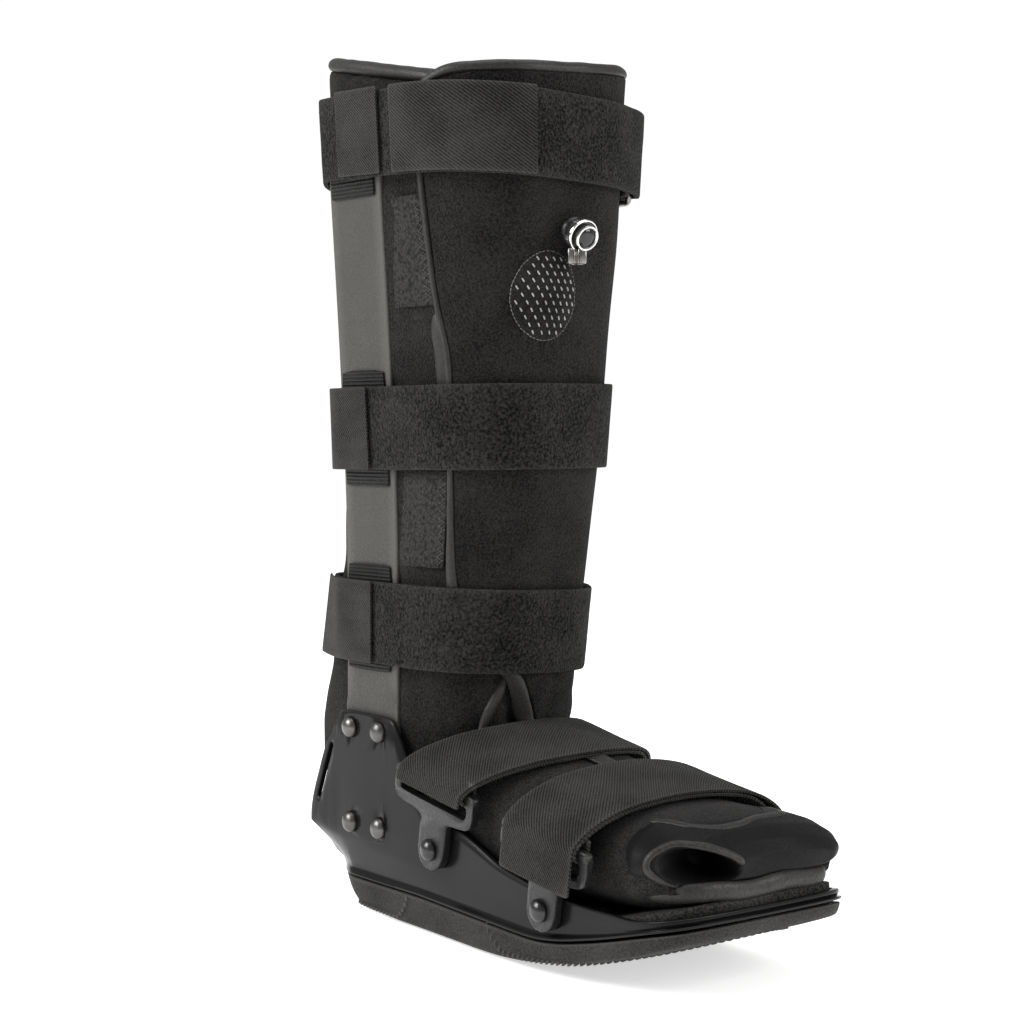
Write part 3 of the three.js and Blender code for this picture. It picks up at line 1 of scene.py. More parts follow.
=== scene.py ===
"""Looks of a tall pneumatic walking boot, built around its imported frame.

The boot stands on the floor with its toe along +X and its leg up +Z, in metres. Every soft solid of
the frame is replaced by a smooth, sewn and textured piece in the same place.
"""

from __future__ import annotations

import logging
import math
from collections.abc import Callable, Sequence
from dataclasses import dataclass, field
from enum import Enum

import bmesh
import bpy
import numpy as np
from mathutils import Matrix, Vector, noise
from mathutils.bvhtree import BVHTree

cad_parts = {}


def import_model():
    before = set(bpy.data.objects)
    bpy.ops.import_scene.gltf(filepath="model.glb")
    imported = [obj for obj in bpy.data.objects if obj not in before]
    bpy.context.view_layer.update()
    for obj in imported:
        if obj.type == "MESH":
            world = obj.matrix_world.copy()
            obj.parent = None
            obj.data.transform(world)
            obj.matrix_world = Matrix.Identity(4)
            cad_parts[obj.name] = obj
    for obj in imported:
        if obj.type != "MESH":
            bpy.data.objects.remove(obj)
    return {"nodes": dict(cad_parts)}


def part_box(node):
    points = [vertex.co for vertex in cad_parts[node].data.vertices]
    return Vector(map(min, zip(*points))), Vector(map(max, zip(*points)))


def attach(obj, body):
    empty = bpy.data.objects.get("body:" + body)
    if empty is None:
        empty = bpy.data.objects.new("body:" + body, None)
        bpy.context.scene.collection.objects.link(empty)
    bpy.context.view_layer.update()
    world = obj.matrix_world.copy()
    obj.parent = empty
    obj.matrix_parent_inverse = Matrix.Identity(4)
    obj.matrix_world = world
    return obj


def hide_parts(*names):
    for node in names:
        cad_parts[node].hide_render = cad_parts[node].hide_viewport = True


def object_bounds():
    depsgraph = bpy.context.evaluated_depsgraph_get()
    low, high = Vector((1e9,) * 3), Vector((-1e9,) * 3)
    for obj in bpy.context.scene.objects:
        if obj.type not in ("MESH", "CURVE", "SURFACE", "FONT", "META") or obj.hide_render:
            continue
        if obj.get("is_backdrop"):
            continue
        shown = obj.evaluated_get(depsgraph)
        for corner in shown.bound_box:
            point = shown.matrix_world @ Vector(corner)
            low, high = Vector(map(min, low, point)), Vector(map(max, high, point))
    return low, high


LOG = logging.getLogger("walking_boot")
MM = 0.001
BOOT = "boot"
KNOB = "valve_knob"
LEG_PERIOD = 0.402  # length of pattern laid once round the leg
PUMP_PLACE = (-14.2, 313.6)  # to the left of the leg's axis and above the floor, in millimetres
PUMP_RADIUS = 21.6
PUMP_SQUEEZE = 0.82  # the pump's width as a share of its height

Field = Callable[[np.ndarray, np.ndarray], np.ndarray]
Chart = Callable[[np.ndarray], np.ndarray]


def linear(hex_colour: str) -> tuple[float, float, float, float]:
    """Turns an sRGB hex colour into the linear values that a shader takes.

    Args:
        hex_colour: six hex digits, red first.

    Returns:
        Linear red, green, blue and an alpha of 1.
    """
    parts = [int(hex_colour[i : i + 2], 16) / 255 for i in (0, 2, 4)]
    curved = [c / 12.92 if c <= 0.04045 else ((c + 0.055) / 1.055) ** 2.4 for c in parts]
    return (*curved, 1.0)


def add_node(
    tree: bpy.types.NodeTree, kind: str, inputs: dict[str | int, object] | None = None, **settings: object
) -> bpy.types.Node:
    """Adds a node with its settings, values and links.

    Args:
        tree: the tree that gets the node.
        kind: the node's type name.
        inputs: values, or sockets to link from, by input name or place.
        settings: the node's own settings.

    Returns:
        The new node.
    """
    node = tree.nodes.new(kind)
    for key, value in settings.items():
        setattr(node, key, value)
    for key, value in (inputs or {}).items():
        if isinstance(value, bpy.types.NodeSocket):
            tree.links.new(value, node.inputs[key])
        else:
            node.inputs[key].default_value = value
    return node


def smooth_step(low: float, high: float, value: np.ndarray) -> np.ndarray:
    """Eases from 0 at low to 1 at high."""
    t = np.clip((value - low) / (high - low), 0, 1)
    return t * t * (3 - 2 * t)


def bump_over(centre: float, reach: float, value: np.ndarray) -> np.ndarray:
    """A soft hump of height 1 at centre that dies away over reach."""
    return np.exp(-(((value - centre) / reach) ** 2))


def rough_field(points: np.ndarray, size: float, seed: float = 0.0) -> np.ndarray:
    """Smooth noise between about -1 and 1 whose lumps are size metres across."""
    shift = Vector((seed, seed * 0.7, -seed))
    return np.array([noise.noise(Vector(p) / size + shift) for p in points])


class Pattern(Enum):
    """Surface structures that a finish can have."""

    PILE = "looped pile"
    GRAIN = "leather grain"
    STIPPLE = "moulded stipple"
    TWILL = "diagonal weave"
    HERRINGBONE = "zigzag weave"
    MESH = "open mesh"
    FOAM = "closed-cell foam"
    RIBS = "pressed ribs"
    POLISH = "polished skin"
    BRUSH = "brushed metal"


def pattern_height(
    tree: bpy.types.NodeTree, pattern: Pattern, place: bpy.types.NodeSocket, laid: bpy.types.NodeSocket,
    size: float
) -> bpy.types.NodeSocket:
    """Builds a pattern's height, from 0 in its hollows to 1 on its crowns.

    Args:
        tree: the material's tree.
        pattern: which structure.
        place: coordinates in metres in the object's own frame.
        laid: coordinates in metres along and across the cloth.
        size: one loop, thread, pore or rib, in metres.

    Returns:
        The socket that carries the height.
    """
    lumps = {"Vector": place, "Scale": 1 / size, "Detail": 2.0, "Roughness": 0.6}
    if pattern in (Pattern.PILE, Pattern.STIPPLE):
        grain = add_node(tree, "ShaderNodeTexNoise", lumps)
        spread = 0.16 if pattern is Pattern.PILE else 0.2
        values = {"Value": grain.outputs["Fac"], "From Min": 0.5 - spread, "From Max": 0.5 + spread}
        return add_node(tree, "ShaderNodeMapRange", values).outputs["Result"]
    if pattern in (Pattern.GRAIN, Pattern.FOAM, Pattern.MESH):
        cells = add_node(
            tree,
            "ShaderNodeTexVoronoi",
            {"Vector": laid if pattern is Pattern.MESH else place, "Scale": 1 / size},
            feature="F1" if pattern is Pattern.FOAM else "SMOOTH_F1",
        )
        return add_node(
            tree, "ShaderNodeMapRange",
            {"Value": cells.outputs["Distance"], "From Max": 0.8, "To Min": 1.0, "To Max": 0.0}
        ).outputs["Result"]
    if pattern in (Pattern.POLISH, Pattern.BRUSH):
        stretch = add_node(
            tree, "ShaderNodeMapping",
            {"Vector": place, "Scale": (1, 1, 1 if pattern is Pattern.POLISH else 9)}
        )
        lumps["Vector"] = stretch.outputs["Vector"]
        return add_node(tree, "ShaderNodeTexNoise", lumps).outputs["Fac"]
    split = add_node(tree, "ShaderNodeSeparateXYZ", {"Vector": laid})
    along, across = split.outputs["X"], split.outputs["Y"]
    if pattern is Pattern.RIBS:
        lean = across
    else:
        bend = across
        if pattern is Pattern.HERRINGBONE:
            bend = add_node(
                tree, "ShaderNodeMath", {0: across, 1: 3.2 * size}, operation="PINGPONG"
            ).outputs["Value"]
        lean = add_node(tree, "ShaderNodeMath", {0: along, 1: bend}, operation="ADD").outputs["Value"]
    turned = add_node(
        tree, "ShaderNodeMath", {0: lean, 1: 2 * math.pi / size}, operation="MULTIPLY"
    ).outputs["Value"]
    wave = add_node(tree, "ShaderNodeMath", {0: turned}, operation="SINE").outputs["Value"]
    fuzz = add_node(tree, "ShaderNodeTexNoise", {"Vector": place, "Scale": 2 / size, "Detail": 2.0})
    mixed = add_node(
        tree, "ShaderNodeMath", {0: wave, 1: 0.3, 2: fuzz.outputs["Fac"]}, operation="MULTIPLY_ADD"
    ).outputs["Value"]
    return add_node(
        tree, "ShaderNodeMapRange", {"Value": mixed, "From Min": 0.15, "From Max": 0.85}
    ).outputs["Result"]


@dataclass(frozen=True)
class Finish:
    """One finish: its colours, structure and gloss. Sizes are in millimetres."""

    name: str
    colour: str  # on the crowns of the structure
    shade: str  # in its hollows
    pattern: Pattern
    size: float
    depth: float
    roughness: float
    spread: float = 0.1  # how far the roughness varies over the structure
    edge_wear_and_highlight: str = ""  # colour of pale convex edges: partly wear, partly a painted highlight
    broad: float = 0.25  # share of colour that drifts over centimetres
    metallic: float = 0.0
    sheen: float = 0.0
    specular: float = 0.5

    def material(self) -> bpy.types.Material:
        """Makes the material, or returns the one made before.

        Returns:
            The material.
        """
        made = bpy.data.materials.get(self.name)
        if made:
            return made
        made = bpy.data.materials.new(self.name)
        made.use_nodes = True
        tree = made.node_tree
        shader = tree.nodes["Principled BSDF"]
        place = add_node(tree, "ShaderNodeTexCoord").outputs["Object"]
        laid = add_node(tree, "ShaderNodeUVMap", uv_map="laid").outputs["UV"]
        height = pattern_height(tree, self.pattern, place, laid, self.size * MM)
        drift = add_node(tree, "ShaderNodeTexNoise", {"Vector": place, "Scale": 38.0, "Detail": 3.0})
        fade = add_node(
            tree,
            "ShaderNodeMapRange",
            {
                "Value": drift.outputs["Fac"],
                "From Min": 0.3,
                "From Max": 0.7,
                "To Min": -self.broad,
                "To Max": self.broad,
            },
        )
        level = add_node(
            tree, "ShaderNodeMath", {0: height, 1: fade.outputs["Result"]}, operation="ADD", use_clamp=True
        ).outputs["Value"]
        tint = add_node(
            tree, "ShaderNodeMix", {0: level, 6: linear(self.shade), 7: linear(self.colour)}, data_type="RGBA"
        ).outputs[2]
        # Convex edges, found by pointiness, are painted paler: partly rubbed wear, partly a painted highlight
        # where light catches the rounded edges.
        if self.edge_wear_and_highlight:
            edge = add_node(tree, "ShaderNodeNewGeometry").outputs["Pointiness"]
            wear_and_highlight_share = add_node(
                tree, "ShaderNodeMapRange", {"Value": edge, "From Min": 0.52, "From Max": 0.62, "To Max": 0.8}
            ).outputs["Result"]
            tint = add_node(
                tree, "ShaderNodeMix", {0: wear_and_highlight_share, 6: tint, 7: linear(self.edge_wear_and_highlight)}, data_type="RGBA"
            ).outputs[2]
        gloss = add_node(
            tree,
            "ShaderNodeMapRange",
            {
                "Value": level,
                "To Min": min(1.0, self.roughness + self.spread),
                "To Max": max(0.03, self.roughness - self.spread),
            },
        ).outputs["Result"]
        relief = add_node(
            tree, "ShaderNodeBump", {"Height": height, "Strength": 1.0, "Distance": self.depth * MM}
        ).outputs["Normal"]
        tree.links.new(tint, shader.inputs["Base Color"])
        tree.links.new(gloss, shader.inputs["Roughness"])
        tree.links.new(relief, shader.inputs["Normal"])
        shader.inputs["Metallic"].default_value = self.metallic
        shader.inputs["Specular IOR Level"].default_value = self.specular
        shader.inputs["Sheen Weight"].default_value = self.sheen
        shader.inputs["Sheen Roughness"].default_value = 0.5
        return made


# Knitted loop pile, brushed on one side: it scatters light and shows no highlight, only speckle.
# Its loops are drawn 1 mm wide, about twice their size, so that they show.
LOOP_PILE = Finish(
    "brushed_loop_pile", "282625", "0b0b0b", Pattern.PILE, 1.0, 0.45, 0.95, sheen=0.04, specular=0.06
)
# The straps' coarser pile, pressed flat, its edges painted paler: partly rubbed wear, partly a painted
# highlight.
STRAP_PILE = Finish(
    "loop_pile_strap", "2d2c2a", "060606", Pattern.PILE, 1.4, 0.9, 0.95, edge_wear_and_highlight="434241", sheen=0.04,
    specular=0.06
)
# Polyurethane leathercloth: a shallow pebble grain with a dull shine on its crowns.
LEATHERCLOTH = Finish(
    "polyurethane_leathercloth", "2d2b2a", "181716", Pattern.GRAIN, 1.0, 0.12, 0.46, edge_wear_and_highlight="4d4b49",
    specular=0.25
)
# Smooth knitted lining, with a faint sheen where it is drawn tight. Its colour is set much darker than the
# leathercloth's, as painted shade for the toe and its mouth.
MOUTH_CLOTH_DARK_AS_SHADE = Finish("lining_cloth_painted_shade", "141313", "0c0b0b", Pattern.GRAIN, 0.9, 0.06, 0.5, specular=0.1)
# Injection-moulded polypropylene with a fine spark-eroded stipple: grey, even and satin.
UPRIGHT_PLASTIC = Finish(
    "stippled_polypropylene", "42403d", "302e2c", Pattern.STIPPLE, 0.7, 0.12, 0.5, edge_wear_and_highlight="74726f", broad=0.12,
    specular=0.25
)
# Nylon shell moulded in a polished tool: near black with a deep, slightly wavy gloss. Its rolled edges are
# painted paler, as a painted highlight.
SHELL_NYLON = Finish(
    "polished_nylon_shell", "131313", "0d0c0c", Pattern.POLISH, 22.0, 0.1, 0.22, spread=0.05, edge_wear_and_highlight="383635",
    specular=0.12
)
# Carbon-filled rubber: dull, with a fine pimple from its mould, and edges painted paler: partly rubbed wear,
# partly a painted highlight.
SOLE_RUBBER = Finish(
    "moulded_rubber", "2f2d2c", "151514", Pattern.STIPPLE, 0.9, 0.25, 0.7, edge_wear_and_highlight="565452", specular=0.2
)
# Closed-cell foam, sliced: small open pores on a soft grey skin.
INSOLE_FOAM = Finish("sliced_foam", "3f3e3c", "1a1919", Pattern.FOAM, 1.2, 0.3, 0.9, specular=0.1)
# Woven polyester webbing: a diagonal rib with a fine fuzz that catches light on its edges.
WEBBING = Finish(
    "twill_webbing", "383735", "121212", Pattern.TWILL, 1.7, 0.4, 0.85, edge_wear_and_highlight="555351", sheen=0.03,
    specular=0.06
)
# Hook tape: short stiff hooks in zigzag rows, paler than the pile beside it.
HOOK_TAPE = Finish(
    "hook_tape_weave", "373534", "100f0f", Pattern.HERRINGBONE, 1.7, 0.45, 0.7, edge_wear_and_highlight="4a4846", specular=0.15
)
# Flat hook mesh sewn to the liner.
HOOK_MESH = Finish(
    "hook_mesh_cloth", "373634", "121211", Pattern.MESH, 1.3, 0.4, 0.8, broad=0.05, specular=0.1
)
# Ribbed polyurethane strip on the uprights.
RIBBED_PAD = Finish("ribbed_strip", "232221", "050505", Pattern.RIBS, 1.9, 0.8, 0.6, specular=0.2)
# Glass-filled nylon loops: satin, with the stipple of a worn mould.
MOULDED_NYLON = Finish(
    "moulded_nylon_loop", "1d1c1c", "111111", Pattern.STIPPLE, 1.0, 0.1, 0.36, edge_wear_and_highlight="43413f", broad=0.15,
    specular=0.35
)
# Drawn steel rivet heads, tumbled: grey with soft highlights.
RIVET_STEEL = Finish(
    "tumbled_steel", "696765", "434241", Pattern.BRUSH, 1.5, 0.03, 0.34, metallic=1.0, broad=0.3
)
# Steel blackened in oil, satin.
BLACK_STEEL = Finish("blackened_steel", "1c1b1b", "0e0d0d", Pattern.BRUSH, 1.5, 0.03, 0.22, spread=0.06)
# Nickel-plated wire, drawn along its length and a little dulled.
NICKEL = Finish("nickel_plated_wire", "8e8b88", "6b6967", Pattern.BRUSH, 2.0, 0.02, 0.24, metallic=1.0)
# Chrome plate on plastic: a near mirror.
CHROME = Finish(
    "chrome_plate", "dddcdb", "bab9b8", Pattern.POLISH, 3.0, 0.01, 0.08, spread=0.03, metallic=1.0
)
# Glossy lacquer on the valve's dial.
DARK_LACQUER = Finish("dial_lacquer", "0c0c0c", "090909", Pattern.POLISH, 3.0, 0.01, 0.12, spread=0.03)
# Acetal as moulded: dark, waxy and satin.
VALVE_PLASTIC = Finish("satin_acetal", "151515", "0c0b0b", Pattern.STIPPLE, 0.6, 0.05, 0.3, edge_wear_and_highlight="2e2d2c")
# Fine close weave stretched over the pump's foam.
PUMP_FABRIC = Finish("pump_cover_weave", "292827", "0d0d0d", Pattern.STIPPLE, 0.8, 0.2, 0.85, specular=0.08)
# Undyed thread of the pump's eyelets.
EYELET_THREAD = Finish("pale_eyelet_thread", "a8a6a4", "72706e", Pattern.STIPPLE, 0.6, 0.05, 0.7)
# Grey thread overlocked round the pump's window.
EDGE_THREAD = Finish("grey_edge_thread", "686664", "434241", Pattern.STIPPLE, 0.5, 0.05, 0.7)
# Bonded nylon sewing thread.
SEAM_THREAD = Finish("bonded_thread", "403f3e", "1c1b1b", Pattern.STIPPLE, 0.5, 0.05, 0.6)
# Matt white paper below and behind the boot.
FLOOR_PAPER = Finish("pale_studio_paper", "fdfdfc", "fbfbfa", Pattern.STIPPLE, 3.0, 0.01, 0.9, broad=0.0)


def frame_solid(nodes: Sequence[str], quads: bool = True) -> bmesh.types.BMesh:
    """Merged copy of one or more nodes of the frame.

    Args:
        nodes: their names.
        quads: join the triangles into quads where they lie in pairs.

    Returns:
        A new mesh, which the caller frees.
    """
    solid = bmesh.new()
    for node in nodes:
        solid.from_mesh(FRAME["nodes"][node].data)
    bmesh.ops.remove_doubles(solid, verts=solid.verts, dist=0.004 * MM)
    if quads:
        wide = math.radians(58)
        bmesh.ops.join_triangles(
            solid, faces=solid.faces, angle_face_threshold=wide, angle_shape_threshold=wide
        )
    return solid


def as_object(name: str, mesh: bpy.types.Mesh) -> bpy.types.Object:
    """Adds an object with this mesh to the scene.

    Args:
        name: the object's name.
        mesh: its mesh.

    Returns:
        The object.
    """
    made = bpy.data.objects.new(name, mesh)
    bpy.context.scene.collection.objects.link(made)
    return made


def settle(piece: bpy.types.Object) -> bpy.types.Object:
    """Turns an object's modifiers into its plain mesh.

    Args:
        piece: the object.

    Returns:
        The same object, without modifiers.
    """
    graph = bpy.context.evaluated_depsgraph_get()
    mesh = bpy.data.meshes.new_from_object(piece.evaluated_get(graph))
    old = piece.data
    piece.modifiers.clear()
    piece.data = mesh
    bpy.data.meshes.remove(old)
    mesh.name = piece.name
    return piece


def subdivided(
    name: str, solid: bmesh.types.BMesh, levels: int, hard: float = 60.0, crease: float = 0.6
) -> bpy.types.Object:
    """Smooths a coarse solid into a rounded one whose edges stay crisp.

    Args:
        name: the new object's name.
        solid: the coarse mesh, which is freed.
        levels: subdivision levels.
        hard: edges bent by more than this many degrees keep their shape.
        crease: how much of it they keep.

    Returns:
        The new object, with a plain mesh.
    """
    layer = solid.edges.layers.float.new("crease_edge")
    limit = math.radians(hard)
    for edge in solid.edges:
        if len(edge.link_faces) == 2 and edge.calc_face_angle(0.0) > limit:
            edge[layer] = crease
    mesh = bpy.data.meshes.new(name)
    solid.to_mesh(mesh)
    solid.free()
    made = as_object(name, mesh)
    surface = made.modifiers.new("smooth", "SUBSURF")
    surface.levels = surface.render_levels = levels
    settle(made)
    return made


def points_of(mesh: bpy.types.Mesh) -> np.ndarray:
    """The vertices' places, one row each.

    Args:
        mesh: the mesh to read.

    Returns:
        Places in metres.
    """
    places = np.empty(len(mesh.vertices) * 3, np.float32)
    mesh.vertices.foreach_get("co", places)
    return places.reshape(-1, 3).astype(float)


def normals_of(mesh: bpy.types.Mesh) -> np.ndarray:
    """The vertices' normals, one row each.

    Args:
        mesh: the mesh to read.

    Returns:
        Unit normals.
    """
    ways = np.empty(len(mesh.vertices) * 3, np.float32)
    mesh.vertex_normals.foreach_get("vector", ways)
    return ways.reshape(-1, 3).astype(float)


def move_out(piece: bpy.types.Object, field_of: Field) -> None:
    """Moves each vertex along its normal by what the field gives for its place and normal.

    Args:
        piece: the object to change.
        field_of: takes places and normals, and gives distances in metres.
    """
    mesh = piece.data
    places, ways = points_of(mesh), normals_of(mesh)
    places += ways * field_of(places, ways)[:, None]
    mesh.vertices.foreach_set("co", places.astype(np.float32).ravel())
    mesh.update()


def lay(piece: bpy.types.Object, chart: Chart, period: float = 0.0) -> None:
    """Lays the pattern on a piece as its UV map "laid", in metres along and across.

    Args:
        piece: the object.
        chart: gives the two coordinates of each vertex.
        period: length after which the first coordinate starts again, or 0.
    """
    mesh = piece.data
    charted = chart(points_of(mesh))
    corners = np.empty(len(mesh.loops), np.int32)
    mesh.loops.foreach_get("vertex_index", corners)
    laid = charted[corners]
    if period:
        starts = np.empty(len(mesh.polygons), np.int32)
        totals = np.empty(len(mesh.polygons), np.int32)
        mesh.polygons.foreach_get("loop_start", starts)
        mesh.polygons.foreach_get("loop_total", totals)
        first = np.repeat(laid[starts, 0], totals)
        before = np.cumsum(totals) - totals
        order = np.repeat(starts - before, totals) + np.arange(len(first))
        gap = laid[order, 0] - first
        laid[order, 0] -= period * np.round(gap / period)
    layer = mesh.uv_layers.new(name="laid")
    layer.data.foreach_set("uv", laid.astype(np.float32).ravel())


def leg_chart(places: np.ndarray) -> np.ndarray:
    """Coordinates round and up the leg."""
    turn = np.arctan2(places[:, 1], places[:, 0])
    return np.stack([turn * LEG_PERIOD / (2 * math.pi), places[:, 2]], 1)


def foot_chart(places: np.ndarray) -> np.ndarray:
    """Coordinates across and along the foot."""
    turn = np.arctan2(places[:, 1], places[:, 2] - 0.035)
    return np.stack([turn * 0.058, places[:, 0]], 1)


def finished(
    piece: bpy.types.Object,
    finish: Finish,
    replaced: Sequence[str] = (),
    body: str = BOOT,
    sharp: float = 50.0,
) -> bpy.types.Object:
    """Gives a piece its material and its body, and hides the nodes of the frame that it stands for.

    Args:
        piece: the object.
        finish: what it is made of.
        replaced: nodes of the frame that it stands for.
        body: the body that it moves with.
        sharp: edges bent by more than this many degrees are shaded as corners.

    Returns:
        The same object.
    """
    mesh = piece.data
    if "laid" not in mesh.uv_layers:
        lay(piece, leg_chart, LEG_PERIOD)
    mesh.materials.clear()
    mesh.materials.append(finish.material())
    mesh.polygons.foreach_set("material_index", np.zeros(len(mesh.polygons), np.int32))
    mesh.polygons.foreach_set("use_smooth", np.ones(len(mesh.polygons), bool))
    mesh.set_sharp_from_angle(angle=math.radians(sharp))
    if replaced:
        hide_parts(*replaced)
    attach(piece, body)
    LOG.info("%s: %d faces of %s", piece.name, len(mesh.polygons), finish.name)
    return piece


def lathe(
    profile: Sequence[tuple[float, float]], sides: int, foot: Vector, aim: Vector, teeth: int = 0,
    tooth: float = 0.0
) -> bpy.types.Mesh:
    """Turned solid round an axis, from the axis back to the axis.

    Args:
        profile: radius and distance along the axis, in millimetres.
        sides: faces round it.
        foot: where the axis starts.
        aim: the axis.
        teeth: knurls round it.
        tooth: how deep they are, in millimetres.

    Returns:
        The new mesh.
    """
    across = aim.orthogonal().normalized()
    up = aim.cross(across)
    shape = bmesh.new()
    rings = []
    for radius, along in profile:
        centre = foot + aim * along * MM
        if radius == 0:
            rings.append([shape.verts.new(centre)])
            continue
        ring = []
        for i in range(sides):
            angle = 2 * math.pi * i / sides
            reach = radius - tooth * (0.5 - 0.5 * math.cos(teeth * angle))
            ring.append(
                shape.verts.new(centre + (across * math.cos(angle) + up * math.sin(angle)) * reach * MM)
            )
        rings.append(ring)
    for a, b in zip(rings, rings[1:]):
        for i in range(sides):
            j = (i + 1) % sides
            corners = [a[i % len(a)], a[j % len(a)], b[j % len(b)], b[i % len(b)]]
            unique = list(dict.fromkeys(corners))
            if len(unique) > 2:
                shape.faces.new(unique)
    bmesh.ops.recalc_face_normals(shape, faces=shape.faces)
    mesh = bpy.data.meshes.new("turned")
    shape.to_mesh(mesh)
    shape.free()
    return mesh


class Repeat(Enum):
    """Small shapes that geometry nodes repeat."""

    STITCH = "a capsule of thread along a path"
    DOME = "a round head on a point"
    LUG = "a rounded bar on a point"


def repeat_tree(kind: Repeat) -> bpy.types.NodeTree:
    """Node tree that sets one small shape on every point of its input, sized by three lengths.

    Args:
        kind: the shape. Stitches follow a path and take their spacing from Pitch.

    Returns:
        The tree, made once.
    """
    name = "repeat_" + kind.name.lower()
    if name in bpy.data.node_groups:
        return bpy.data.node_groups[name]
    tree = bpy.data.node_groups.new(name, "GeometryNodeTree")
    face = tree.interface
    face.new_socket("Geometry", in_out="INPUT", socket_type="NodeSocketGeometry")
    for size in ("Pitch", "Length", "Width", "Height"):
        face.new_socket(size, in_out="INPUT", socket_type="NodeSocketFloat")
    face.new_socket("Material", in_out="INPUT", socket_type="NodeSocketMaterial")
    face.new_socket("Geometry", in_out="OUTPUT", socket_type="NodeSocketGeometry")
    given = tree.nodes.new("NodeGroupInput").outputs
    if kind is Repeat.STITCH:
        path = add_node(tree, "GeometryNodeMeshToCurve", {"Mesh": given["Geometry"]})
        points = add_node(
            tree, "GeometryNodeResampleCurve", {"Curve": path.outputs["Curve"], "Length": given["Pitch"]},
            mode="LENGTH"
        ).outputs["Curve"]
        way = add_node(tree, "GeometryNodeInputTangent").outputs["Tangent"]
        turn = add_node(
            tree, "FunctionNodeAlignRotationToVector", {"Vector": way}, axis="X"
        ).outputs["Rotation"]
        shape = add_node(tree, "GeometryNodeMeshUVSphere", {"Segments": 6, "Rings": 5, "Radius": 0.5})
    else:
        points = given["Geometry"]
        way = add_node(tree, "GeometryNodeInputNamedAttribute", {"Name": "facing"}, data_type="FLOAT_VECTOR")
        turn = add_node(
            tree, "FunctionNodeAlignRotationToVector", {"Vector": way.outputs["Attribute"]}, axis="Z"
        ).outputs["Rotation"]
        if kind is Repeat.DOME:
            shape = add_node(tree, "GeometryNodeMeshUVSphere", {"Segments": 28, "Rings": 14, "Radius": 0.5})
        else:
            shape = add_node(tree, "GeometryNodeMeshUVSphere", {"Segments": 8, "Rings": 6, "Radius": 0.5})
    size = add_node(
        tree, "ShaderNodeCombineXYZ", {"X": given["Length"], "Y": given["Width"], "Z": given["Height"]}
    ).outputs["Vector"]
    placed = add_node(
        tree,
        "GeometryNodeInstanceOnPoints",
        {"Points": points, "Instance": shape.outputs["Mesh"], "Rotation": turn, "Scale": size},
    ).outputs["Instances"]
    real = add_node(tree, "GeometryNodeRealizeInstances", {"Geometry": placed}).outputs["Geometry"]
    dressed = add_node(
        tree, "GeometryNodeSetMaterial", {"Geometry": real, "Material": given["Material"]}
    ).outputs["Geometry"]
    tree.links.new(dressed, tree.nodes.new("NodeGroupOutput").inputs["Geometry"])
    return tree


def repeated(
    name: str,
    kind: Repeat,
    finish: Finish,
    paths: Sequence[Sequence[Vector]],
    size: tuple[float, float, float],
    pitch: float = 0.0,
    facing: Sequence[Vector] = (),
) -> bpy.types.Object:
    """Repeats a small shape along paths or on points, as one plain mesh.

    Args:
        name: the new object's name.
        kind: the shape.
        finish: what it is made of.
        paths: lines of points. Points of a single path carry a shape each, unless it is a stitch.
        size: length, width and height in millimetres.
        pitch: spacing of stitches in millimetres.
        facing: which way each point's shape stands out.

    Returns:
        The new object.
    """
    mesh = bpy.data.meshes.new(name)
    places = [p for path in paths for p in path]
    edges = []
    start = 0
    for path in paths:
        if kind is Repeat.STITCH:
            edges += [(start + i, start + i + 1) for i in range(len(path) - 1)]
        start += len(path)
    mesh.from_pydata(places, edges, [])
    if facing:
        ways = mesh.attributes.new("facing", "FLOAT_VECTOR", "POINT")
        ways.data.foreach_set("vector", np.array([list(f) for f in facing], np.float32).ravel())
    made = as_object(name, mesh)
    modifier = made.modifiers.new("repeat", "NODES")
    modifier.node_group = repeat_tree(kind)
    length, width, height = size
    values = {
        "Pitch": pitch * MM,
        "Length": length * MM,
        "Width": width * MM,
        "Height": height * MM,
        "Material": finish.material(),
    }
    for item in modifier.node_group.interface.items_tree:
        if item.in_out == "INPUT" and item.name in values:
            modifier[item.identifier] = values[item.name]
    made.update_tag()
    bpy.context.view_layer.update()
    return settle(made)


def piping(name: str, line: Sequence[tuple[Vector, Vector]], width: float, height: float) -> bpy.types.Object:
    """Soft roll along a line on a surface, tapered at both ends.

    Args:
        name: the new object's name.
        line: places and the surface's normals there.
        width: across the roll, in millimetres.
        height: how far it stands out, in millimetres.

    Returns:
        The new object.
    """
    shape = bmesh.new()
    sides, count = 8, len(line)
    rings = []
    for i, (place, out) in enumerate(line):
        along = (line[min(i + 1, count - 1)][0] - line[max(i - 1, 0)][0]).normalized()
        side = along.cross(out).normalized()
        end = min(i, count - 1 - i)
        taper = 0.35 if end == 0 else 0.8 if end == 1 else 1.0
        ring = []
        for k in range(sides):
            angle = 2 * math.pi * k / sides
            across = side * math.cos(angle) * width / 2 * taper
            lift = out * math.sin(angle) * height * taper
            ring.append(shape.verts.new(place + (across + lift) * MM))
        rings.append(ring)
    for a, b in zip(rings, rings[1:]):
        for k in range(sides):
            shape.faces.new((a[k], a[(k + 1) % sides], b[(k + 1) % sides], b[k]))
    shape.faces.new(rings[0][::-1])
    shape.faces.new(rings[-1])
    bmesh.ops.recalc_face_normals(shape, faces=shape.faces)
    return subdivided(name, shape, 2, hard=170)


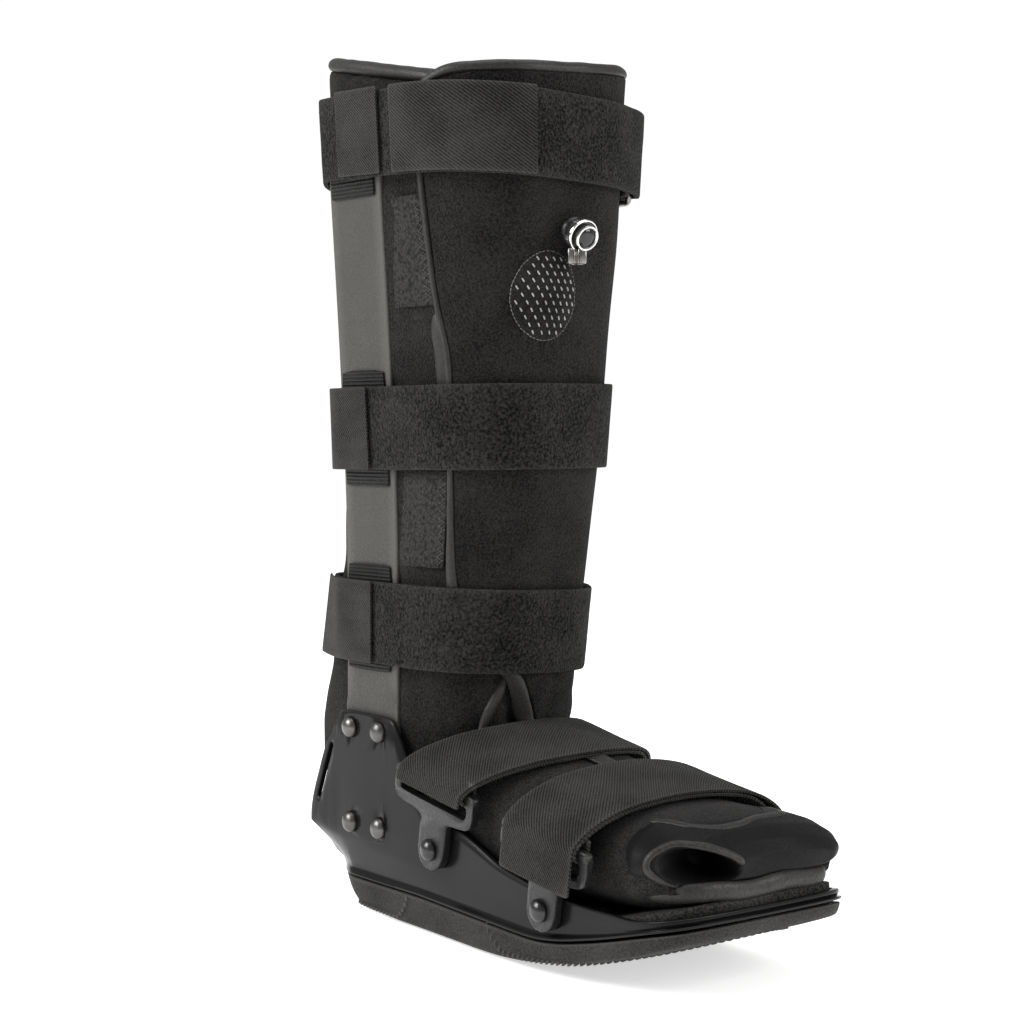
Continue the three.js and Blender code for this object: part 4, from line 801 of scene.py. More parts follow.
class Surface:
    """Finds places on a finished piece, for what is sewn or riveted to it."""

    def __init__(self, *pieces: bpy.types.Object) -> None:
        """Reads the pieces' meshes as they are now."""
        graph = bpy.context.evaluated_depsgraph_get()
        self.trees = [BVHTree.FromObject(piece, graph) for piece in pieces]

    def hit(self, start: Vector, way: Vector) -> tuple[Vector, Vector] | None:
        """First place and normal that a ray meets, or None.

        Args:
            start: where the ray begins, in metres.
            way: its direction.

        Returns:
            The place and the normal there, or None where it misses.
        """
        found = [tree.ray_cast(start, way) for tree in self.trees]
        found = [f for f in found if f[0] is not None]
        if not found:
            return None
        best = min(found, key=lambda f: f[3])
        return best[0], best[1]

    def line(self, rays: Sequence[tuple[Vector, Vector]], lift: float) -> list[list[Vector]]:
        """Paths over the surface where rays meet it, lifted by some millimetres and split where they miss.

        Args:
            rays: start and direction of each ray.
            lift: height above the surface.

        Returns:
            The paths, each with two places or more.
        """
        paths, path = [], []
        for start, way in rays:
            found = self.hit(start, way)
            jump = found and path and (found[0] - path[-1]).length > 6 * MM
            if path and (not found or jump):
                paths.append(path)
                path = []
            if found:
                path.append(found[0] + found[1] * lift * MM)
        if path:
            paths.append(path)
        return [p for p in paths if len(p) > 2]


def from_side(
    degrees: float, height: float, centre: tuple[float, float] = (0.0, 0.0)
) -> tuple[Vector, Vector]:
    """Level ray towards the leg's axis, from an angle that is 0 at the front and -90 on the right.

    Args:
        degrees: the angle.
        height: above the floor, in metres.
        centre: forward and left place that it aims at, in metres.

    Returns:
        The ray's start and direction.
    """
    angle = math.radians(degrees)
    out = Vector((math.cos(angle), math.sin(angle), 0))
    return Vector((centre[0], centre[1], height)) + out * 0.3, -out


@dataclass
class Sole:
    """Rubber outsole, glossy shell and foam insole. Sizes are in millimetres."""

    lug_pitch: float = 3.4
    lug_size: tuple[float, float, float] = (1.7, 4.5, 2.6)
    shell_levels: int = 2

    def build(self) -> None:
        """Makes the three layers and the lugs round the tread's edge."""
        tread = subdivided("outsole_rubber", frame_solid(["outsole"]), 2, hard=50, crease=0.7)
        finished(tread, SOLE_RUBBER, ["outsole"])
        self.lugs(tread)
        shell = subdivided(
            "shell_moulding", frame_solid(["chassis"]), self.shell_levels, hard=38, crease=0.85
        )
        finished(shell, SHELL_NYLON, ["chassis"], sharp=60)
        insole = subdivided("insole_foam", frame_solid(["insole_pad"]), 2, hard=50, crease=0.6)
        finished(insole, INSOLE_FOAM, ["insole_pad"])

    def lugs(self, tread: bpy.types.Object) -> None:
        """Small bars round the tread's lower edge, all just inside the rubber's own outline.

        Args:
            tread: the subdivided outsole.
        """
        low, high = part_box("outsole")
        middle = Vector(((low.x + high.x) / 2, 0, 0))
        surface = Surface(tread)
        places, facing = [], []
        previous: Vector | None = None
        for i in range(2400):
            angle = 2 * math.pi * i / 2400
            out = Vector((math.cos(angle) * (high.x - low.x) / 2, math.sin(angle) * 0.06, 0))
            level = surface.hit(middle + out * 0.93 + Vector((0, 0, -0.05)), Vector((0, 0, 1)))
            if level is None:
                continue
            way = out.normalized()
            edge = surface.hit(Vector((middle.x, 0, level[0].z + 2.2 * MM)) + out * 1.5, -way)
            if edge is None or (previous and (edge[0] - previous).length < self.lug_pitch * MM):
                continue
            previous = edge[0]
            places.append(edge[0] - way * 0.6 * MM)
            facing.append(way)
        lugs = repeated("tread_lugs", Repeat.LUG, SOLE_RUBBER, [places], self.lug_size, facing=facing)
        finished(lugs, SOLE_RUBBER)


@dataclass
class Liner:
    """Padded liner, its bindings, toe cover and front flap. Lengths are in millimetres, angles in degrees."""

    voxel: float = 2.9
    swell: float = 2.2  # most that the padding puffs out
    straps: tuple[float, ...] = (392.5, 250.5, 149.5)  # heights of the straps' middles
    frames: int = 14
    lumps: float = 0.7
    creases: float = 1.6  # depth of the ankle's creases
    pocket: float = 4.0  # depth of the hollow beside the flap's foot
    cheek: float = 1.8  # how far the padding stands out behind that hollow
    toe_centre: float = 170.0  # middle of the toe's curve, forward of the leg's axis
    toe_settle: float = 4.2  # how far the toe sinks onto the insole
    toe_fuller: float = 3.4  # how far the toe bulges on its left
    # Forward place, half width, top and bottom of the closed toe
    toe_table: tuple[tuple[float, float, float, float], ...] = (
        (162.0, 51.9, 78.0, 40.5),
        (180.0, 51.9, 77.5, 42.5),
        (195.0, 51.4, 76.3, 44.5),
        (204.0, 49.3, 73.2, 46.0),
        (209.4, 45.6, 68.4, 48.2),
        (213.0, 39.2, 62.6, 51.5),
    )
    toe_roundness: float = 2.3  # exponent of the toe's section
    mouth_turn: float = -41.0  # middle of the toe's mouth, about the toe's centre
    mouth_reach: float = 22.0  # half its width
    mouth_span: tuple[float, float] = (-57.0, -18.0)  # where its height changes from back to front
    mouth_middle: tuple[float, float] = (61.5, 57.5)  # height of its middle, back and front
    mouth_half: tuple[float, float] = (9.5, 6.5)  # half its height, back and front
    mouth_depth: float = 30.0
    roll_reach: float = 24.5  # the same three sizes for the roll round it
    roll_half: tuple[float, float] = (10.6, 7.3)
    flap_fall: tuple[float, float] = (150.0, 127.0)  # below these heights the flap swings and stretches down
    flap_swing: float = 14.0
    flap_stretch: float = 0.9

    def padding(self) -> bpy.types.Object:
        """Puffs the liner's padding up as cloth under pressure, held where the straps press.

        Returns:
            The padding.
        """
        solid = frame_solid(["liner"], quads=False)
        mesh = bpy.data.meshes.new("liner_padding")
        solid.to_mesh(mesh)
        solid.free()
        piece = as_object("liner_padding", mesh)
        remesh = piece.modifiers.new("even", "REMESH")
        remesh.mode = "VOXEL"
        remesh.voxel_size = self.voxel * MM
        relax = piece.modifiers.new("relax", "SMOOTH")
        relax.factor, relax.iterations = 0.5, 2
        settle(piece)
        self.simulate(piece)
        move_out(piece, self.folds)
        self.shape_toe(piece)
        return piece

    def slack(self, places: np.ndarray) -> np.ndarray:
        """Share of the swell that the straps, the shell and the flap leave free at each place.

        Args:
            places: places on the padding, in metres.

        Returns:
            Shares from 0 to 1.
        """
        turn = np.degrees(np.arctan2(places[:, 1], places[:, 0]))
        free = 1 - 0.85 * smooth_step(-78, -66, turn) * smooth_step(78, 66, turn)
        for height in self.straps:
            free *= 1 - np.exp(-(((places[:, 2] - height * MM) / 0.026) ** 4))
        free *= smooth_step(0.03, 0.115, places[:, 2] + 0.35 * np.clip(places[:, 0], 0, None))
        return free * smooth_step(0.44, 0.40, places[:, 2])

    def simulate(self, piece: bpy.types.Object) -> None:
        """Runs the cloth and keeps each vertex within its share of the swell.

        Args:
            piece: the padding, changed in place.
        """
        rest = points_of(piece.data)
        cloth = piece.modifiers.new("padding", "CLOTH")
        settings = cloth.settings
        settings.use_pressure = True
        settings.uniform_pressure_force = 4.0
        settings.effector_weights.gravity = 0.0
        settings.quality = 4
        cloth.collision_settings.use_collision = False
        scene = bpy.context.scene
        cloth.point_cache.frame_start, cloth.point_cache.frame_end = 1, self.frames
        for frame in range(1, self.frames + 1):
            scene.frame_set(frame)
        graph = bpy.context.evaluated_depsgraph_get()
        puffed = points_of(piece.evaluated_get(graph).data)
        piece.modifiers.clear()
        scene.frame_set(1)
        shift = puffed - rest
        far = np.linalg.norm(shift, axis=1)
        cap = self.swell * MM * self.slack(rest)
        shift *= (np.minimum(far, cap) / np.maximum(far, 1e-9))[:, None]
        piece.data.vertices.foreach_set("co", (rest + shift).astype(np.float32).ravel())
        piece.data.update()
        LOG.info("padding swelled by up to %.1f mm", 1000 * float(np.linalg.norm(shift, axis=1).max()))

    def folds(self, places: np.ndarray, ways: np.ndarray) -> np.ndarray:
        """Soft hollows and creases of worn padding, deepest round the ankle.

        Args:
            places: places on the padding, in metres.
            ways: normals there.

        Returns:
            Distances along the normals, in metres.
        """
        free = self.slack(places)
        broad = rough_field(places, 0.032, 3.0)
        squeezed = places * np.array([1.0, 1.0, 2.6])
        creased = -np.abs(rough_field(squeezed, 0.03, 9.0))
        ankle = bump_over(0.105, 0.04, places[:, 2]) * smooth_step(-0.02, 0.03, places[:, 0])
        turn = np.degrees(np.arctan2(places[:, 1], places[:, 0]))
        pocket = bump_over(-11, 5, turn) * bump_over(0.106, 0.010, places[:, 2])
        cheek = bump_over(-42, 12, turn) * bump_over(0.108, 0.014, places[:, 2])
        depth = self.lumps * broad * free + self.creases * creased * ankle * (0.3 + 0.7 * free)
        return (depth - self.pocket * pocket + self.cheek * cheek) * MM

    def lean(self, turn: np.ndarray) -> np.ndarray:
        """Share of the way from the mouth's back to its front."""
        return np.clip((turn - self.mouth_span[0]) / (self.mouth_span[1] - self.mouth_span[0]), 0, 1)

    def mouth(self, turn: np.ndarray, height: np.ndarray) -> np.ndarray:
        """How far each place is from the middle of the toe's mouth, where 1 is its edge.

        Args:
            turn: angle about the toe's own centre, negative on the right.
            height: above the floor.

        Returns:
            The distance as a share of the mouth's half size.
        """
        middle, half = (a + (b - a) * self.lean(turn) for a, b in (self.mouth_middle, self.mouth_half))
        return np.sqrt(((turn - self.mouth_turn) / self.mouth_reach) ** 2 + ((height - middle) / half) ** 2)

    def fuller(self, turn: np.ndarray, height: np.ndarray) -> np.ndarray:
        """How far the toe bulges at each place."""
        return self.toe_fuller * smooth_step(-10, 40, turn) * bump_over(62, 11, height)

    def shape_toe(self, piece: bpy.types.Object) -> None:
        """Settles the toe on the insole, puffs its lower lip and draws its mouth in.

        Args:
            piece: the padding, changed in place.
        """
        mesh = piece.data
        places = points_of(mesh)
        x, z = places[:, 0] / MM, places[:, 2] / MM
        from_centre = places[:, :2] - np.array([self.toe_centre * MM, 0])
        turn = np.degrees(np.arctan2(from_centre[:, 1], from_centre[:, 0]))
        way = from_centre / np.maximum(np.linalg.norm(from_centre, axis=1), 1e-6)[:, None]
        nose = smooth_step(178, 196, x) + smooth_step(-90, -70, turn) * smooth_step(172, 180, x)
        lip = 2.4 * bump_over(50.5, 4.2, z)
        drawn = self.mouth_depth * smooth_step(1.12, 0.5, self.mouth(turn, z))
        shift = (lip + self.fuller(turn, z) - drawn) * np.clip(nose, 0, 1) * MM
        places[:, :2] += way * shift[:, None]
        places[:, 2] -= self.toe_settle * MM * smooth_step(140, 185, x) * smooth_step(57, 47, z)
        mesh.vertices.foreach_set("co", places.astype(np.float32).ravel())
        mesh.update()

    def toe_reach(self, turn: np.ndarray, height: np.ndarray) -> np.ndarray:
        """Distance from the toe's centre out to the liner's closed surface, found by halving.

        Args:
            turn: angles about the toe's centre.
            height: above the floor.

        Returns:
            The distances.
        """
        stops = np.array(self.toe_table)
        near, far = np.zeros(np.shape(turn)), np.full(np.shape(turn), 70.0)
        for _ in range(24):
            reach = (near + far) / 2
            x = self.toe_centre + reach * np.cos(np.radians(turn))
            half, top, low = (np.interp(x, stops[:, 0], stops[:, k]) for k in (1, 2, 3))
            across = np.abs(reach * np.sin(np.radians(turn)) / half)
            up = np.abs((height - (top + low) / 2) / ((top - low) / 2))
            inside = (across**self.toe_roundness + up**self.toe_roundness < 1) & (x < stops[-1, 0])
            near, far = np.where(inside, reach, near), np.where(inside, far, reach)
        return near

    def toe_cover(self) -> bpy.types.Object:
        """Makes the smooth cloth that rounds the toe and dips into its mouth on the right.

        Returns:
            The cover.
        """
        columns, rows = 150, 44
        turn, height = np.meshgrid(np.linspace(-84, 76, columns + 1), np.linspace(49.0, 75.8, rows + 1))
        where = self.mouth(turn, height)
        rim = 1.5 * bump_over(1.12, 0.14, where) * smooth_step(-14, -34, turn) * smooth_step(54, 60, height)
        ends = 4.0 * (smooth_step(-74, -84, turn) + smooth_step(66, 76, turn))
        low = 3.5 * smooth_step(54, 50, height)
        drawn = self.mouth_depth * smooth_step(1.0, 0.45, where)
        wave = 0.5 * np.sin(turn / 9 + height / 6)
        reach = self.toe_reach(turn, height) + 1.3 + rim + self.fuller(turn, height)
        reach += wave - drawn - ends - low
        angle = np.radians(turn)
        places = np.stack([self.toe_centre + reach * np.cos(angle), reach * np.sin(angle), height], -1) * MM
        starts = [j * (columns + 1) + i for j in range(rows) for i in range(columns)]
        mesh = bpy.data.meshes.new("toe_mouth_cover")
        mesh.from_pydata(
            places.reshape(-1, 3).tolist(), [], [(k, k + 1, k + columns + 2, k + columns + 1) for k in starts]
        )
        cover = as_object("toe_mouth_cover", mesh)
        wall = cover.modifiers.new("wall", "SOLIDIFY")
        wall.thickness, wall.offset = 1.2 * MM, -1.0
        return settle(cover)

    def flap_folds(self, places: np.ndarray, ways: np.ndarray) -> np.ndarray:
        """The flap's shallow waves, and the puckers round the sewn-in pump window.

        Args:
            places: places on the flap, in metres.
            ways: normals there.

        Returns:
            Distances along the normals, in metres.
        """
        across, up = places[:, 1] - PUMP_PLACE[0] * MM, places[:, 2] - PUMP_PLACE[1] * MM
        out = np.sqrt((across / PUMP_SQUEEZE) ** 2 + up**2) / (PUMP_RADIUS * MM)
        turn = np.arctan2(up, across)
        pucker = np.sin(24 * turn) * smooth_step(0.98, 1.06, out) * smooth_step(1.4, 1.1, out)
        front = smooth_step(0.3, 0.7, ways[:, 0])
        broad = rough_field(places * np.array([1, 1, 0.7]), 0.03, 5.0)
        ankle = smooth_step(0.17, 0.11, places[:, 2])
        crease = -np.abs(rough_field(places * np.array([1, 1, 3.0]), 0.03, 2.0)) * ankle
        return (0.45 * broad + 0.8 * pucker * front + 1.4 * crease) * MM

    def draw_down(self, piece: bpy.types.Object, skin: Surface) -> None:
        """Draws the flap's foot down over the instep, where it slips under the strap.

        Args:
            piece: the flap or its binding.
            skin: the liner that it lies on.
        """
        mesh = piece.data
        places = points_of(mesh)
        swings, stretches = (height * MM for height in self.flap_fall)
        for i in np.nonzero(places[:, 2] < swings)[0]:
            x, y, z = places[i]
            turn = math.degrees(math.atan2(y, x))
            start, way = from_side(turn, z)
            found = skin.hit(start, way)
            if not found:
                continue
            lift = math.hypot(x, y) - math.hypot(found[0].x, found[0].y)
            share = min(max((turn + 20) / 80, 0), 1)
            swing = self.flap_swing * float(smooth_step(swings, 0.124, z)) * (1 - share)
            lower = z - self.flap_stretch * max(0.0, stretches - z)
            start, way = from_side(turn + swing, lower)
            found = skin.hit(start, way)
            if found:
                places[i] = found[0] - way * lift
        mesh.vertices.foreach_set("co", places.astype(np.float32).ravel())
        mesh.update()

    def zigzag(self, patch: bpy.types.Object) -> None:
        """Sews a hook mesh patch down with zigzag stitches along its edge beside the flap.

        Args:
            patch: the patch's object.
        """
        skin = Surface(patch)
        heights = points_of(patch.data)[:, 2]
        paths, path = [], []
        for i, z in enumerate(np.arange(heights.min() + 2 * MM, heights.max() - 2 * MM, 1.9 * MM)):
            turns = [t for t in np.arange(-80, 10, 0.5) if skin.hit(*from_side(t, z))]
            if turns:
                place, out = skin.hit(*from_side(turns[-1] - (0.8 if i % 2 else 3.2), z))
                path.append(place + out * 0.25 * MM)
        paths = [[a, (a + b) / 2, b] for a, b in zip(path, path[1:])]
        stitches = repeated(
            f"{patch.name}_zigzag", Repeat.STITCH, SEAM_THREAD, paths, (1.5, 0.7, 0.5), pitch=1.2
        )
        finished(stitches, SEAM_THREAD)

    def flap_hem(self, flap: bpy.types.Object, padding: bpy.types.Object) -> None:
        """Lays the wide smooth hem that shows beside the flap's edge above the middle strap.

        Args:
            flap: the flap's object.
            padding: the padding behind it.
        """
        skin, under = Surface(flap), Surface(padding)
        line = []
        for z in np.arange(0.262, 0.310, 0.004):
            turns = [t for t in np.arange(-75, 0, 0.5) if skin.hit(*from_side(t, z))]
            if turns:
                line.append(under.hit(*from_side(turns[0] - 4.2, z)))
        hem = piping("flap_wide_hem", line, 11.0, 2.4)
        finished(hem, LEATHERCLOTH)

    def rolls(self, padding: bpy.types.Object, cover: bpy.types.Object) -> None:
        """Makes the leathercloth rolls round the toe and its mouth, and beside the ankle's pocket.

        Args:
            padding: the padding that they lie on.
            cover: the toe's cover.
        """
        skin = Surface(padding)
        centre = (self.toe_centre * MM, 0.0)
        turns = np.linspace(-86, 74, 60)
        edge = [skin.hit(*from_side(t, (74.4 + 0.6 * math.sin(t / 14)) * MM, centre)) for t in turns]
        beside_ankle = ((-15, 130), (-18, 124), (-22, 117), (-27, 109), (-30, 101), (-32, 95))
        fold = [skin.hit(*from_side(turn, height * MM)) for turn, height in beside_ankle]
        lip = []
        for turn in np.linspace(-70, 72, 56):
            out = Vector((math.cos(math.radians(turn)), math.sin(math.radians(turn)), 0))
            height = 48.8 + 0.7 * math.sin(turn / 8)
            wave = 2.0 + 0.4 * math.sin(turn / 5)
            reach = wave + float(self.toe_reach(turn, 51.0) + smooth_step(-10, 40, turn))
            lip.append((Vector((self.toe_centre, 0, height)) * MM + out * reach * MM, out))
        closed = Surface(cover)
        mouth = []
        for step in np.linspace(20, 315, 44):
            turn = self.mouth_turn + self.roll_reach * math.cos(math.radians(step))
            lean = float(self.lean(turn))
            middle, half = (a + (b - a) * lean for a, b in (self.mouth_middle, self.roll_half))
            height = middle + half * math.sin(math.radians(step))
            mouth.append(closed.hit(*from_side(turn, height * MM, centre)))
        for name, line, width, height in (
            ("toe_edge_roll", edge, 4.6, 1.3),
            ("toe_lip_roll", lip, 9.5, 3.0),
            ("mouth_edge_roll", mouth, 4.2, 1.5),
            ("ankle_fold_roll", fold, 6.5, 3.0),
        ):
            roll = piping(name, [hit for hit in line if hit], width, height)
            finished(roll, LEATHERCLOTH)

    def build(self) -> tuple[bpy.types.Object, bpy.types.Object]:
        """Makes the padding, flap, bindings and hook mesh.

        Returns:
            The liner and the flap.
        """
        padding = self.padding()
        finished(padding, LOOP_PILE, ["liner"], sharp=70)
        skin = Surface(padding)
        flap = subdivided("flap_padding", frame_solid(["front_flap"]), 3, hard=60, crease=0.3)
        self.draw_down(flap, skin)
        move_out(flap, self.flap_folds)
        finished(flap, LOOP_PILE, ["front_flap"], sharp=70)
        for node, name in (("flap_binding", "flap_edge_roll"), ("rim_binding", "rim_edge_roll")):
            roll = subdivided(name, frame_solid([node]), 3, hard=95, crease=0.2)
            if node == "flap_binding":
                self.draw_down(roll, skin)
            fuller = 0.5 if node == "flap_binding" else 1.3
            move_out(roll, lambda p, n: (fuller + 0.3 * rough_field(p, 0.009, 4.0)) * MM)
            finished(roll, LEATHERCLOTH, [node], sharp=70)
        # The toe's cover gets the darkened lining cloth: painted shade over the toe and in its mouth.
        cover = finished(self.toe_cover(), MOUTH_CLOTH_DARK_AS_SHADE, ["toe_cover"])
        self.rolls(padding, cover)
        self.flap_hem(flap, padding)
        for node in ("mesh_patch_upper", "mesh_patch_lower"):
            patch = subdivided(node.replace("mesh_patch", "hook_mesh"), frame_solid([node]), 2, crease=0.8)
            finished(patch, HOOK_MESH, [node])
            self.zigzag(patch)
        return padding, flap


@dataclass
class Uprights:
    """Stippled side uprights, ribbed strips and rivets."""

    head: tuple[float, float, float] = (11.0, 11.0, 7.4)  # a dome's width, and twice its height

    def build(self) -> None:
        """Makes both sides."""
        for side in ("right", "left"):
            bar = subdivided(f"upright_bar_{side}", frame_solid([f"upright_{side}"]), 2, hard=30, crease=0.9)
            finished(bar, UPRIGHT_PLASTIC, [f"upright_{side}"])
            for strap in ("top", "middle", "low"):
                node = f"strap_pad_{strap}_{side}"
                strip = subdivided(f"ribbed_strip_{strap}_{side}", frame_solid([node]), 2, crease=0.9)
                finished(strip, RIBBED_PAD, [node])
        self.rivets("plate_rivet", RIVET_STEEL)
        self.rivets("loop_rivet", BLACK_STEEL)

    def rivets(self, kind: str, finish: Finish) -> None:
        """Makes every domed head of one kind, in its node's own place.

        Args:
            kind: the nodes' name without their number.
            finish: what the heads are made of.
        """
        nodes = sorted(n for n in FRAME["nodes"] if n.startswith(kind))
        places, facing = [], []
        for node in nodes:
            points = points_of(FRAME["nodes"][node].data)
            side = math.copysign(1, points[:, 1].mean())
            tip = points[np.argmax(side * points[:, 1])]
            root = points[side * points[:, 1] < (side * points[:, 1]).min() + 0.2 * MM].mean(0)
            way = Vector(tip - root).normalized()
            facing.append(way)
            places.append(Vector(tip) - way * 3.3 * MM)
        heads = repeated(f"{kind}_heads", Repeat.DOME, finish, [places], self.head, facing=facing)
        finished(heads, finish, nodes)


@dataclass
class FootStraps:
    """Two webbing straps over the foot and their moulded loops."""

    fuzz: float = 0.25  # millimetres

    def build(self) -> None:
        """Makes both straps and all four loops."""
        for strap in ("instep", "forefoot"):
            for side in ("right", "left"):
                node = f"{strap}_loop_{side}"
                loop = subdivided(
                    f"{strap}_moulded_loop_{side}", frame_solid([node]), 2, hard=35, crease=0.75
                )
                finished(loop, MOULDED_NYLON, [node])
            node = f"{strap}_strap"
            web = subdivided(f"{strap}_webbing", frame_solid([node]), 3, hard=62, crease=0.7)
            move_out(web, lambda p, n: self.fuzz * rough_field(p, 0.011, 7.0) * MM)
            lay(web, foot_chart)
            finished(web, WEBBING, [node], sharp=60)


@dataclass
class LegStraps:
    """Three hook-and-loop straps round the leg, their rings and tabs."""

    def build(self) -> None:
        """Makes the straps, the anchors behind and what is sewn on them."""
        for strap in ("top", "middle", "low"):
            for part in ("strap", "anchor"):
                node = f"{strap}_{part}"
                web = subdivided(f"{strap}_pile_{part}", frame_solid([node]), 3, hard=62, crease=0.55)
                move_out(web, lambda p, n: 0.2 * rough_field(p, 0.012, 6.0) * MM)
                finished(web, STRAP_PILE, [node], sharp=60)
            wire = frame_solid([f"{strap}_ring"])
            long = [edge for edge in wire.edges if edge.calc_length() > 5 * MM]
            bmesh.ops.subdivide_edges(wire, edges=long, cuts=4, use_grid_fill=True)
            ring = subdivided(f"{strap}_wire_ring", wire, 1, hard=100)
            finished(ring, NICKEL, [f"{strap}_ring"])
        for node, finish, slot in (
            ("middle_hook_tab", HOOK_TAPE, "hook_tape"),
            ("low_hook_tab", HOOK_TAPE, "hook_tape"),
            ("top_webbing_tab", WEBBING, "webbing"),
            ("top_webbing_panel", WEBBING, "webbing"),
        ):
            tab = subdivided(f"sewn_{node}", frame_solid([node]), 3, hard=62, crease=0.8)
            finished(tab, finish, [node], sharp=60)


@dataclass
class PumpAndValve:
    """Sewn-in pump window and the valve above it. Lengths are in millimetres."""

    foot: Vector = field(default_factory=lambda: Vector((83.8093, -3.0, 346.5)) * MM)
    aim: Vector = field(default_factory=lambda: Vector((0.91513, -0.05001, -0.40006)).normalized())
    crown: float = 2.9  # how far the pump's window domes
    eyelet_pitch: float = 4.4

    def turned(
        self,
        name: str,
        nodes: list[str],
        profile: Sequence[tuple[float, float]],
        finish: Finish,
        slot: str,
        body: str = BOOT,
        teeth: int = 0,
    ) -> None:
        """Makes one turned piece of the valve.

        Args:
            name: the new object's name.
            nodes: nodes of the frame that it stands for.
            profile: radius and distance along the valve's axis.
            finish: what it is made of.
            slot: not used.
            body: the body that it moves with.
            teeth: knurls round it.
        """
        sides = 4 * teeth if teeth else 48
        piece = as_object(name, lathe(profile, sides, self.foot, self.aim, teeth, 0.55 if teeth else 0.0))
        finished(piece, finish, nodes, body, sharp=35)

    def valve(self) -> None:
        """Makes the domed base, knurled barrel, chrome ring, dial and nozzle."""
        self.turned(
            "valve_dome",
            ["valve_base"],
            [
                (0, 2.6), (6.4, 2.6), (7, 3.0), (7, 3.8), (6.6, 4.9),
                (5.6, 5.6), (2.2, 5.6), (2.2, 13.4), (0, 13.4),
            ],
            VALVE_PLASTIC,
            "valve_plastic",
        )
        self.turned(
            "valve_knurled_barrel",
            ["valve_barrel"],
            [(2.5, 5.9), (7.0, 5.9), (7.6, 6.5), (7.6, 10.2), (7.3, 10.6), (2.5, 10.6), (2.5, 5.9)],
            VALVE_PLASTIC,
            "valve_plastic",
            teeth=36,
        )
        self.turned(
            "valve_chrome_ring",
            ["valve_flange"],
            [
                (7.1, 11.0), (7.9, 10.9), (8.2, 11.1), (8.2, 12.0),
                (7.9, 12.5), (7.4, 12.6), (7.1, 12.4), (7.1, 11.0),
            ],
            CHROME,
            "valve_chrome",
        )
        self.turned(
            "valve_ring_face",
            [],
            [(2.5, 11.2), (7.05, 11.2), (7.05, 11.9), (2.5, 12.2), (2.5, 11.2)],
            VALVE_PLASTIC,
            "valve_plastic",
        )
        self.turned(
            "valve_dial",
            ["valve_crown"],
            [(2.5, 12.9), (6.0, 12.9), (6.2, 13.2), (6.2, 14.9), (2.5, 14.9), (2.5, 12.9)],
            VALVE_PLASTIC,
            "valve_plastic",
            KNOB,
        )
        self.turned(
            "valve_dial_rim",
            [],
            [
                (4.9, 14.9), (6.2, 14.9), (6.3, 15.1), (6.3, 15.5),
                (6.0, 15.9), (5.3, 15.9), (4.9, 15.4), (4.9, 14.9),
            ],
            CHROME,
            "valve_chrome",
            KNOB,
        )
        self.turned(
            "valve_dial_middle",
            [],
            [(0, 13.7), (4.6, 13.7), (4.8, 14.8), (4.3, 15.2), (3.0, 15.7), (1.5, 16.0), (0, 16.1)],
            DARK_LACQUER,
            "valve_plastic",
            KNOB,
        )
        low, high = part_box("valve_nozzle")
        middle = Vector(((low.x + high.x) / 2, (low.y + high.y) / 2, high.z - 0.4 * MM))
        profile = [(0, 0), (4.3, 0), (4.5, 0.5), (4.5, 6.6), (4.1, 7.4), (3.4, 7.6), (3.0, 7.2), (0, 7.0)]
        nozzle = as_object("valve_knurled_nozzle", lathe(profile, 96, middle, Vector((0, 0, -1)), 24, 0.5))
        finished(nozzle, NICKEL, ["valve_nozzle"], sharp=35)

    def pump(self, flap: bpy.types.Object) -> None:
        """Makes the domed window, its cord edge and the pale eyelets.

        Args:
            flap: the flap that it is sewn into.
        """
        surface = Surface(flap)
        across, up = PUMP_PLACE
        sides = 96
        rings = [0.0, 0.15, 0.3, 0.45, 0.6, 0.72, 0.83, 0.92, 0.98, 1.0]
        shape = bmesh.new()
        made = []

        def on_flap(share: float, angle: float, lift: float) -> Vector:
            """Place over the flap at a share of the window's radius, lifted by some millimetres.

            Args:
                share: of the window's radius.
                angle: round the window, in radians.
                lift: height above the flap.

            Returns:
                The place, in metres.
            """
            y = (across + PUMP_SQUEEZE * PUMP_RADIUS * share * math.cos(angle)) * MM
            z = (up + PUMP_RADIUS * share * math.sin(angle)) * MM
            found = surface.hit(Vector((0.3, y, z)), Vector((-1, 0, 0)))
            return found[0] + Vector((lift * MM, 0, 0))

        for share in rings:
            lift = 0.6 + self.crown * (1 - share**2.4)
            count = sides if share else 1
            made.append(
                [shape.verts.new(on_flap(share, 2 * math.pi * i / sides, lift)) for i in range(count)]
            )
        made.append([shape.verts.new(on_flap(1.0, 2 * math.pi * i / sides, -0.8)) for i in range(sides)])
        made.append([shape.verts.new(on_flap(0.0, 0.0, -0.8))])
        for a, b in zip(made, made[1:]):
            for i in range(sides):
                j = (i + 1) % sides
                corners = list(dict.fromkeys([a[i % len(a)], a[j % len(a)], b[j % len(b)], b[i % len(b)]]))
                shape.faces.new(corners)
        bmesh.ops.recalc_face_normals(shape, faces=shape.faces)
        mesh = bpy.data.meshes.new("pump_cover")
        shape.to_mesh(mesh)
        shape.free()
        cover = as_object("pump_cover", mesh)
        finished(cover, PUMP_FABRIC, ["pump_window"], sharp=60)
        dome = Surface(cover)
        dashes = []
        reach = int(PUMP_RADIUS / self.eyelet_pitch) + 1
        for row in range(-reach, reach + 1):
            for column in range(-reach, reach + 1):
                y = (column + 0.5 * (row % 2)) * self.eyelet_pitch
                z = row * self.eyelet_pitch * 0.8
                if (y / PUMP_SQUEEZE) ** 2 + z**2 > (0.9 * PUMP_RADIUS) ** 2:
                    continue
                dash = [(across + y + 0.5 * part, up + z - 0.9 * part) for part in (-0.5, 0.0, 0.5)]
                dashes += dome.line([(Vector((300, *at)) * MM, Vector((-1, 0, 0))) for at in dash], 0.1)
        eyelets = repeated("pump_eyelets", Repeat.STITCH, EYELET_THREAD, dashes, (1.3, 1.25, 0.7), pitch=0.5)
